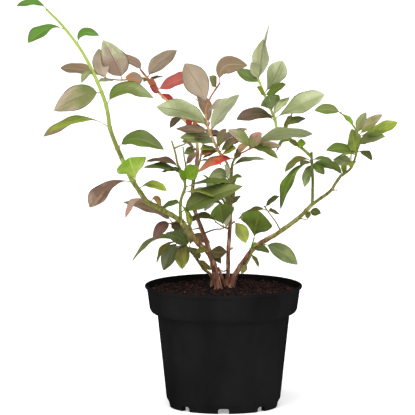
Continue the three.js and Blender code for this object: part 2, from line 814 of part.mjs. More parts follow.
function potSolid() {
  const shell = turned([
    [0, 0],
    [PAD_RADIUS, 0],
    [PAD_RADIUS + EDGE, FLOOR_UNDERSIDE],
    [FOOT_INNER_RADIUS, FLOOR_UNDERSIDE],
    [FOOT_INNER_RADIUS, 0],
    [FOOT_RADIUS, 0],
    [FOOT_TOP_RADIUS, NOTCH_HEIGHT],
    [BODY_FOOT_RADIUS, BODY_FOOT],
    [BODY_TOP_RADIUS, BODY_TOP],
    [COLLAR_FOOT_RADIUS - SHOULDER, BODY_TOP + SHOULDER / 2],
    [COLLAR_FOOT_RADIUS, COLLAR_FOOT],
    [COLLAR_TOP_RADIUS, RIM_TOP - LIP_HEIGHT - EDGE],
    [RIM_RADIUS, RIM_TOP - LIP_HEIGHT],
    [RIM_RADIUS, RIM_TOP - EDGE],
    [RIM_RADIUS - EDGE, RIM_TOP],
    [COLLAR_TOP_RADIUS - WALL + EDGE / 2, RIM_TOP],
    [COLLAR_TOP_RADIUS - WALL, RIM_TOP - EDGE],
    [COLLAR_FOOT_RADIUS - WALL, COLLAR_FOOT + WALL],
    [BODY_TOP_RADIUS - WALL, BODY_TOP + SHOULDER],
    [BODY_FOOT_RADIUS - WALL, BODY_FOOT],
    [BODY_FOOT_RADIUS - WALL - FLOOR_CORNER, FLOOR_TOP],
    [0, FLOOR_TOP],
  ]);
  return shell.subtract(notches()).subtract(drains());
}

// The gaps in the foot that let water out, with chamfered sides.
function notches() {
  const half = NOTCH_WIDTH / 2;
  const shape = new THREE.Shape();
  shape.moveTo(-half, -OVERSHOOT);
  shape.lineTo(half, -OVERSHOOT);
  shape.lineTo(half, NOTCH_HEIGHT - NOTCH_CHAMFER);
  shape.lineTo(half - NOTCH_CHAMFER, NOTCH_HEIGHT);
  shape.lineTo(NOTCH_CHAMFER - half, NOTCH_HEIGHT);
  shape.lineTo(-half, NOTCH_HEIGHT - NOTCH_CHAMFER);
  shape.closePath();
  const depth = NOTCH_OUTER_RADIUS - NOTCH_INNER_RADIUS;
  const geometry = new THREE.ExtrudeGeometry(shape, { depth, bevelEnabled: false });
  geometry.rotateX(Math.PI / 2).translate(0, -NOTCH_INNER_RADIUS, 0);
  const cuts = [];
  for (let k = 0; k < NOTCHES; k++) {
    cuts.push(solidOf(geometry.clone().rotateZ((2 * Math.PI * k) / NOTCHES)));
  }
  return wasm.Manifold.union(cuts);
}

// The round holes in the floor.
function drains() {
  const height = FLOOR_TOP - FLOOR_UNDERSIDE + 2 * OVERSHOOT;
  const hole = new THREE.CylinderGeometry(DRAIN_RADIUS, DRAIN_RADIUS, height, DRAIN_SIDES);
  hole.rotateX(Math.PI / 2).translate(0, -DRAIN_RING, (FLOOR_UNDERSIDE + FLOOR_TOP) / 2);
  const cuts = [];
  for (let k = 0; k < DRAINS; k++) {
    cuts.push(solidOf(hole.clone().rotateZ((2 * Math.PI * (k + 0.5)) / DRAINS)));
  }
  return wasm.Manifold.union(cuts);
}

// The soil fills the pot a hair clear of its walls and floor.
function soilSolid() {
  const clear = WALL + GAP;
  return turned([
    [0, FLOOR_TOP + GAP],
    [BODY_FOOT_RADIUS - clear - FLOOR_CORNER - GAP, FLOOR_TOP + GAP],
    [BODY_FOOT_RADIUS - clear, BODY_FOOT + GAP],
    [BODY_TOP_RADIUS - clear, BODY_TOP + SHOULDER + GAP],
    [COLLAR_FOOT_RADIUS - clear, COLLAR_FOOT + WALL + GAP],
    [collarInside(SOIL_EDGE) - GAP, SOIL_EDGE],
    [SOIL_SLOPE_RADIUS, (SOIL_TOP + SOIL_EDGE) / 2],
    [SOIL_LEVEL_RADIUS, SOIL_TOP],
    [0, SOIL_TOP],
  ]);
}

// Places all along a spine where leaves can be rooted.
function rootPlaces(spine, count) {
  return spine.getSpacedPoints(count).slice(Math.round(count * BARE_SHARE));
}

// The real points of a limb. A stem starts on the soil.
function limbPoints({ foot, path }) {
  const points = path.map(surveyed);
  if (foot) points.unshift(new Vector3(foot[0], foot[1], SOIL_TOP + GAP));
  return points;
}

const bush = new THREE.Group();
bush.add(meshOf("pot", potSolid(), COLOURS.pot, ROUGHNESS.pot));
bush.add(meshOf("soil", soilSolid(), COLOURS.soil, ROUGHNESS.soil));

// Limbs, each cut clear of those before it. grownLimbs is what later pieces are cut with.
const grownLimbs = [];
const standing = [];
for (const limb of LIMBS) {
  const points = limbPoints(limb);
  const level = Boolean(limb.foot);
  let solid = tube(points, limb.radius, LIMB_SIDES, LIMB_STEP, { level });
  for (const other of grownLimbs) solid = solid.subtract(other);
  solid = largest(solid);
  grownLimbs.push(tube(points, limb.radius, LIMB_SIDES, LIMB_STEP, { level, grow: GAP }));
  standing.push(solid);
  bush.add(meshOf(limb.name, solid, COLOURS.bark, ROUGHNESS.bark));
}

// Shoots, each cut clear of the limbs. A leaf that would touch a limb or another shoot is left out.
let obstacles = wasm.Manifold.union(standing);
const limbCutter = wasm.Manifold.union(grownLimbs);
SHOOTS.forEach(({ name, colour, radius, path, twigs = [], leaves, rule = [0, 0], bare = [] }, number) => {
  const random = seeded(number + 1);
  const points = path.map(surveyed);
  const spine = spineOf(points, TWIG_STEP);
  const parts = [tube(points, radius, TWIG_SIDES, TWIG_STEP)];
  const samples = rootPlaces(spine, STEM_SAMPLES);
  for (const twig of twigs) {
    const [[across, , height], ...rest] = twig;
    const twigPoints = [nearestOn(samples, across, height), ...rest.map(surveyed)];
    parts.push(tube(twigPoints, TWIG_RADIUS, TWIG_SIDES, TWIG_STEP));
    samples.push(...rootPlaces(spineOf(twigPoints, TWIG_STEP), TWIG_SAMPLES));
  }
  const [count, size] = rule;
  const wanted = leaves.map((row) => placedLeaf(row, samples, random));
  for (let k = 0; k < count; k++) {
    const leaf = ruledLeaf(spine, k, count, size, random);
    if (!bare.includes(k)) wanted.push(leaf);
  }
  for (const leaf of wanted) {
    if (!touches(leafSolid(leaf, GAP), obstacles)) parts.push(leafSolid(leaf));
  }
  const solid = largest(wasm.Manifold.union(parts).subtract(limbCutter));
  obstacles = obstacles.add(solid);
  bush.add(meshOf(name, solid, COLOURS[colour], ROUGHNESS.leaf));
});

export default bush;
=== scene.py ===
"""The looks of a young blueberry bush in a nursery pot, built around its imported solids.

Lengths are millimetres, apart from FLOOR_SIZE and those in FINISHES. Places on the plant are (across, away,
height), as in the part's source: across and height as measured square to a line of sight that comes down on
the bush from its front, and away as the depth behind the pot's axis. Every limb, twig and leaf is worked out
again by the source's rule, here with a fine mesh: limbs get the relief of bark, twigs get joints and buds,
and leaves get a midrib, veins and tints.
"""

import math

import bmesh
import bpy
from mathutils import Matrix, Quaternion, Vector, noise


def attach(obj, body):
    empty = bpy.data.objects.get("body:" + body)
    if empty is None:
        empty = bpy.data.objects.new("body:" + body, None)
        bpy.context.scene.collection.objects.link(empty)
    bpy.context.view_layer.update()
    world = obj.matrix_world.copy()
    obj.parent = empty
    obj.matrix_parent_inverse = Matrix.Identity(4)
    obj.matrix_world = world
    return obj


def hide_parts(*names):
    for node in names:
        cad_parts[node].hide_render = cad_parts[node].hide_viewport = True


MM = 0.001
UP = Vector((0, 0, 1))

# The line of sight that the places are measured along, and the camera that looks along it.
SIGHT_TILT = math.radians(8.2)
SIGHT_DISTANCE = 20000
SIGHT_ACROSS = -19.2
SIGHT_HEIGHT = 238.6
TO_VIEWER = Vector((0, -math.cos(SIGHT_TILT), math.sin(SIGHT_TILT)))
VIEW_WIDTH = 498
SENSOR_WIDTH = 36

# A pale floor, in metres, that glows a little, white light all round, and suns as (place, strength, width in
# degrees).
FLOOR_SIZE = 40
FLOOR_GLOW = 0.35
WORLD_STRENGTH = 0.38
WHITE = (1, 1, 1, 1)
SUNS = {"key": ((-0.35, -1, 1.3), 2.2, 60), "fill": ((0.45, -1, 1.1), 1.0, 80)}

# Pot and soil, with the sizes of the part's source.
POT_SIDES = 144
RIM_RADIUS = 94.5
RIM_TOP = 147.5
LIP_HEIGHT = 3.4
COLLAR_TOP_RADIUS = 92
COLLAR_FOOT_RADIUS = 88.5
COLLAR_FOOT = 117.5
BODY_TOP_RADIUS = 79.5
BODY_TOP = 112.8
BODY_FOOT_RADIUS = 68.4
BODY_FOOT = 10.7
FOOT_TOP_RADIUS = 65.7
FOOT_RADIUS = 64.4
FOOT_INNER_RADIUS = 58
WALL = 1.5
SHOULDER = 3
FLOOR_CORNER = 2
EDGE = 1
FLOOR_UNDERSIDE = 7
FLOOR_TOP = 9
PAD_RADIUS = 14
NOTCHES = 8
NOTCH_WIDTH = 13
NOTCH_CHAMFER = 1.6
NOTCH_HEIGHT = 6.4
NOTCH_INNER_RADIUS = 51
NOTCH_OUTER_RADIUS = 71
DRAINS = 6
DRAIN_RADIUS = 4.5
DRAIN_SIDES = 24
DRAIN_RING = 42
OVERSHOOT = 3
SOIL_TOP = 143.5
SOIL_EDGE = 139.5
SOIL_LEVEL_RADIUS = 30
GAP = 0.3

# The pot's finer forms: a step over the foot, and how far the collar's foot and the lip slant.
STEP_DEPTH = 0.9
STEP_HEIGHT = 1.6
COLLAR_FOOT_SLANT = 0.8
LIP_SLANT = 0.4
CORNER_STEPS = 4
CORNER_REACH = 0.45
SHARP_ANGLE = math.radians(32)

# The soil's surface: a mound, and bumps as (height, scale of the noise, place in the noise). The mound and
# the lumps fade towards the stems.
SOIL_RINGS = 62
SOIL_SIDES = 200
MOUND_HEIGHT = 2.4
MOUND_PLACE = (38, 30)
MOUND_SPREAD = 700
LUMPS = (2.6, 0.06, 3)
COARSE_CRUMBS = (1.2, 0.22, 8)
FINE_CRUMBS = (0.64, 0.6, 5)
CALM_RADIUS = 26

# Loose crumbs: few are large, and each is a round lump made longer, narrower and flatter.
CRUMBS = 2600
CRUMB_SEED = 77
CRUMB_RADIUS = (0.6, 2.6)
CRUMB_RARITY = 3
CRUMB_EDGE_GAP = 2.5
CRUMB_LIFT = 0.15
CRUMB_TURN = 6
CRUMB_LENGTH = (1.2, 1.7)
CRUMB_WIDTH = 0.9
CRUMB_HEIGHT = (0.6, 0.9)
CRUMB_UNEVENNESS = (0.75, 1.25)

# Limbs and twigs, as in the source.
TWIG_STEP = 15
FLARE = 0.45
FLARE_HEIGHT = 5
TWIG_RADIUS = (1.2, 0.8)
BARE_SHARE = 1 / 15
STEM_SAMPLES = 60
TWIG_SAMPLES = 30
CURVE_SAMPLES = 200

# The fine mesh of a limb, and how far its foot is sunk into the soil.
LIMB_SIDES = 18
LIMB_RING_STEP = 1.6
SUNK = 4

# Ridges of the bark, as shares of the radius: deep on old bark, and fading to the tip. The noise is read
# round the limb and along it, in a place of its own for each limb.
BARK_RELIEF = 0.16
OLD_RELIEF = 1.3
YOUNG_RELIEF = 0.8
RELIEF_FADE = 0.55
RIDGES_ROUND = 2.2
RIDGES_ALONG = 0.09
RIDGES_APART = 31
RIDGE_ROUGHNESS = (0.9, 2.1, 4)

# Joints along a limb: a swelling all round, and on one side the scar of a leaf.
JOINT_STEP = 17
JOINT_LEAD = 5
JOINT_TURN = 2.4
JOINT_SPREAD = 3
JOINT_SWELLING = 0.1
SCAR_SWELLING = 0.16

# How the colours of a limb wander, and where its old bark has peeled.
TINTS_ALONG = 0.04
TINT_PATCHES = 3
TINT_WANDER = 0.12
PEELED_PATCHES = 1.7
PEELED_OVER = 0.22
PEELED_SHARE = 0.5

# The fine mesh of a twig, which swells where a leaf's root is nearer to it than NEAR, and its buds.
TWIG_SIDES = 10
TWIG_RING_STEP = 2.5
TWIG_SWELLING = 0.25
TWIG_JOINT_SPREAD = 2.5
NEAREST_STEPS = 60
NEAR = 2
BUD_LENGTH = 2.6
BUD_RADIUS = 0.95
BUD_SCALE = 0.8
BUD_STEPS = 5
BUD_SIDES = 6
BUD_PLACE = 0.99
BUD_TIP = 0.12
BUD_CURVE = (0.22, 0.98)

# Leaves, as in the source.
PETIOLE_END = 0.09
LEAF_WIDTH = 0.43
LEAF_WIDTH_RANGE = (0.93, 1.07)
LEAF_WIDTH_SPARE = 1.02
BLADE_SKEW = 0.9
BLADE_FULLNESS = 0.8
LEAF_FOLD = 0.16
LEAF_FOLD_RANGE = (0.6, 1.4)
LEAF_TWIST_RANGE = (-0.3, 0.3)
LEAF_ARCH = 0.06
ARCH_LEAN = 0.4
STEEP = 0.94
GOLDEN_ANGLE = math.radians(137.5)
RULE_OPENING = math.radians(58)
RULE_SHARES = (0.18, 0.97)
RULE_TURN_RANGE = (-0.4, 0.4)
RULE_LENGTH_RANGE = (0.75, 1.15)
RULE_TWIST_RANGE = (-0.4, 0.4)

# The fine mesh of a leaf. A column is a share of the blade's half width.
BLADE_ROWS = 24
BLADE_COLUMNS = (-1, -0.86, -0.68, -0.48, -0.25, -0.045, 0.045, 0.25, 0.48, 0.68, 0.86, 1)
BLADE_THICKNESS = 0.4
FOLD_CURVE = 1.2
RIB_HALF = 0.1
RIB_RELIEF = 0.25
VEINS = 7
VEIN_SLANT = 0.55
VEIN_RELIEF = 0.22
VEIN_CURVE = 0.7
VEIN_FULL_HALF = 4
MARGIN_WAVE = 0.11
WAVE_RUN = 11
WAVE_SLANT = 2
WAVE_APART = 1.7
PETIOLE_RADIUS = 0.55
PETIOLE_TAPER = (1.3, 0.8)
PETIOLE_STEPS = 5
PETIOLE_SIDES = 6

# A blade runs through its shades from root to tip, further on towards its margin and in patches of noise,
# with its two halves a little apart: painted shade for light that falls unevenly on the two sides of its
# fold.
# Its tip and its ribs are mixed with a (colour, share).
SHADES = 5
SHADE_START = -0.2
SHADE_ALONG = 1.15
SHADE_ACROSS = 0.3
SHADE_PATCHES = 0.8
FOLD_PAINTED_SHADE = 0.1
PATCHES_ALONG = 3
PATCHES_ACROSS = 1.6
PATCHES_APART = 5.3
SEEDS_PER_SHOOT = 40
CHANCE_SEED = 1000
TIP_TONE = ((60, 50, 25), 0.2)
UPPER_RIB = ((205, 215, 130), 0.22)
UNDER_RIB = ((128, 92, 84), 0.5)

# Finishes: the grain is noise by its scale, detail and stretch, and stands out by a strength and a depth in
# metres.
FINISHES = {
    "leaf": dict(roughness=0.5, gloss=0.35, grain=(900, 3, (1, 1, 1)), relief=(0.25, 0.0004)),
    "stem": dict(roughness=0.55, gloss=0.3, grain=(700, 3, (1, 1, 0.3)), relief=(0.4, 0.0003)),
    "bark": dict(roughness=0.8, gloss=0.25, grain=(420, 4, (1, 1, 0.22)), relief=(0.6, 0.0006)),
    "soil": dict(roughness=0.92, gloss=0.2, grain=(260, 6, (1, 1, 1)), relief=(0.7, 0.0012)),
    "pot": dict(roughness=0.62, gloss=0, grain=(1500, 2, (1, 1, 1)), relief=(0.18, 0.0003)),
}
POT_CLOUDS = (22, 4, (1, 1, 0.5))

# Colours by the value of the noise: (value, colour). The bark's own colour stands between two others, each
# mixed into it by a share.
POT_COLOURS = [(0.3, (19, 18, 19)), (0.7, (29, 28, 29))]
SOIL_COLOURS = [(0.42, (8, 4, 4)), (0.7, (92, 46, 34)), (0.56, (34, 17, 13))]
BARK_VALUES = (0.32, 0.68, 0.5)
BARK_DARK = ((30, 20, 15), 0.45)
BARK_LIGHT = ((225, 200, 165), 0.22)

# Tints of leaves and stems, each a plain colour in sRGB from 0 to 255.
TINTS = {
    "bright": (118, 154, 32),
    "fresh": (88, 134, 40),
    "green": (92, 114, 36),
    "deep": (74, 86, 28),
    "shade": (84, 96, 42),
    "moss": (112, 120, 62),
    "yellow": (146, 158, 46),
    "sage": (136, 146, 98),
    "pale": (182, 188, 146),
    "dusty": (162, 146, 124),
    "mauve": (140, 116, 98),
    "brown": (134, 112, 86),
    "umber": (66, 56, 26),
    "plum": (102, 76, 60),
    "wine": (108, 62, 56),
    "olive": (98, 92, 28),
    "orange": (200, 124, 82),
    "red": (212, 50, 42),
    "crimson": (164, 26, 30),
    "rose": (174, 84, 76),
    "pink": (178, 126, 112),
    "lime": (160, 182, 84),
    "tan": (190, 155, 100),
    "bark": (122, 76, 58),
    "torn": (215, 185, 150),
    "khaki": (114, 118, 50),
    "rust": (150, 80, 62),
}

# By tint: the tints that have it on the leaf's other side.
OTHER_SIDES = {
    "sage": "green deep shade moss olive tan",
    "pale": "bright fresh yellow lime",
    "green": "sage pale",
    "moss": "khaki",
    "brown": "dusty umber",
    "plum": "mauve",
    "mauve": "brown plum",
    "pink": "wine orange",
    "crimson": "red",
    "red": "crimson",
    "wine": "rose pink",
}
OTHER_SIDE = {tint: other for other, tints in OTHER_SIDES.items() for tint in tints.split()}
UNDERSIDES = ("sage", "pale", "dusty", "mauve", "pink")
RULE_TINTS = {
    "green": ("green", "fresh", "moss", "deep", "green", "yellow"),
    "plum": ("brown", "moss", "plum", "olive", "mauve", "green"),
}

# The tints of a shoot's stem, by its name in SHOOTS, and those of dead wood, from root to tip. A leaf's
# stalk is mixed from the last of its stem's and one of its family's own.
STEM_TINTS = {
    "lime": ("khaki", "lime", "lime"),
    "khaki": ("khaki", "khaki"),
    "olive": ("bark", "khaki"),
    "bark": ("bark", "bark"),
    "rust": ("khaki", "rust"),
    "tan": ("tan", "tan", "rust"),
    "fresh": ("khaki", "fresh"),
}
DEAD_TINTS = ("umber", "bark", "tan")
PETIOLE_TINTS = {"green": "khaki", "plum": "rust"}
PETIOLE_SHARE = 0.5

# Each limb: its path, its radius at the start and the tip, and its tints from start to tip. A stem has a
# foot on the soil.
LIMBS = [dict(
    name="stem_left", foot=(-6, -9), radius=(3.9, 3.2), tints=("bark", "bark", "khaki"),
    path=[(-9.5, -10, 160), (-17.5, -12, 184), (-28, -18, 193.5), (-40, -24, 208.5),
          (-52, -30, 223.5)],
), dict(
    name="bough_left", radius=(3.1, 2.8), tints=("khaki", "khaki", "lime"),
    path=[(-50, -29, 221.5), (-61, -34, 229), (-78, -42, 238), (-91, -48, 245), (-100, -53, 257),
          (-110, -57, 272), (-122.5, -62, 298.5)],
), dict(
    name="bough_centre_left", radius=(2.8, 1.7), tints=("bark", "bark", "khaki", "tan"),
    path=[(-16, -12, 183), (-20.5, -4, 198), (-27.5, 8, 216), (-34, 17, 234), (-37, 25, 252),
          (-36, 36, 272), (-31, 50, 300), (-33, 66, 326)],
), dict(
    name="stem_centre", foot=(4, 6), radius=(2.4, 2.0), tints=("bark", "bark", "khaki"),
    path=[(5.5, 7, 160), (5.8, 8, 188), (8.2, 9, 221), (8.7, 10, 245), (8.5, 10, 268), (10, 10, 286)],
), dict(
    name="stem_right", foot=(9, -4), radius=(3.5, 3.0), tints=("bark", "bark"),
    path=[(14, -6, 158), (23.5, -10, 172), (34, -15, 187.5)],
), dict(
    name="bough_right", radius=(3.0, 2.3), tints=("bark", "khaki", "khaki"),
    path=[(33, -14.6, 186.5), (43, -13, 194.8), (63, -6, 206.5), (85, 4, 222), (97, 10, 232.5),
          (107.5, 15, 244)],
), dict(
    name="bough_right_upright", radius=(1.8, 1.6), tints=("khaki", "green"),
    path=[(106.5, 14.5, 243), (107, 16, 258), (107, 18, 274), (106, 20, 292), (105.5, 20, 305)],
), dict(
    name="bough_right_outer", radius=(2.0, 1.7), tints=("khaki", "khaki"),
    path=[(105, 14, 241), (113.5, 13, 247.5), (129, 6, 259), (134, 1, 267), (141, -5, 277)],
), dict(
    name="stem_low_left", foot=(-13, 5), radius=(2.0, 1.6), tints=("bark", "olive"),
    path=[(-14, 7, 156), (-24, 17, 165.5), (-34, 27, 179.5), (-40, 34, 187)],
), dict(
    name="stem_back", foot=(2, 15), radius=(1.8, 1.5), tints=("bark", "bark"),
    path=[(-0.5, 17, 152), (-3, 19, 159), (-6.5, 21, 167)],
)]

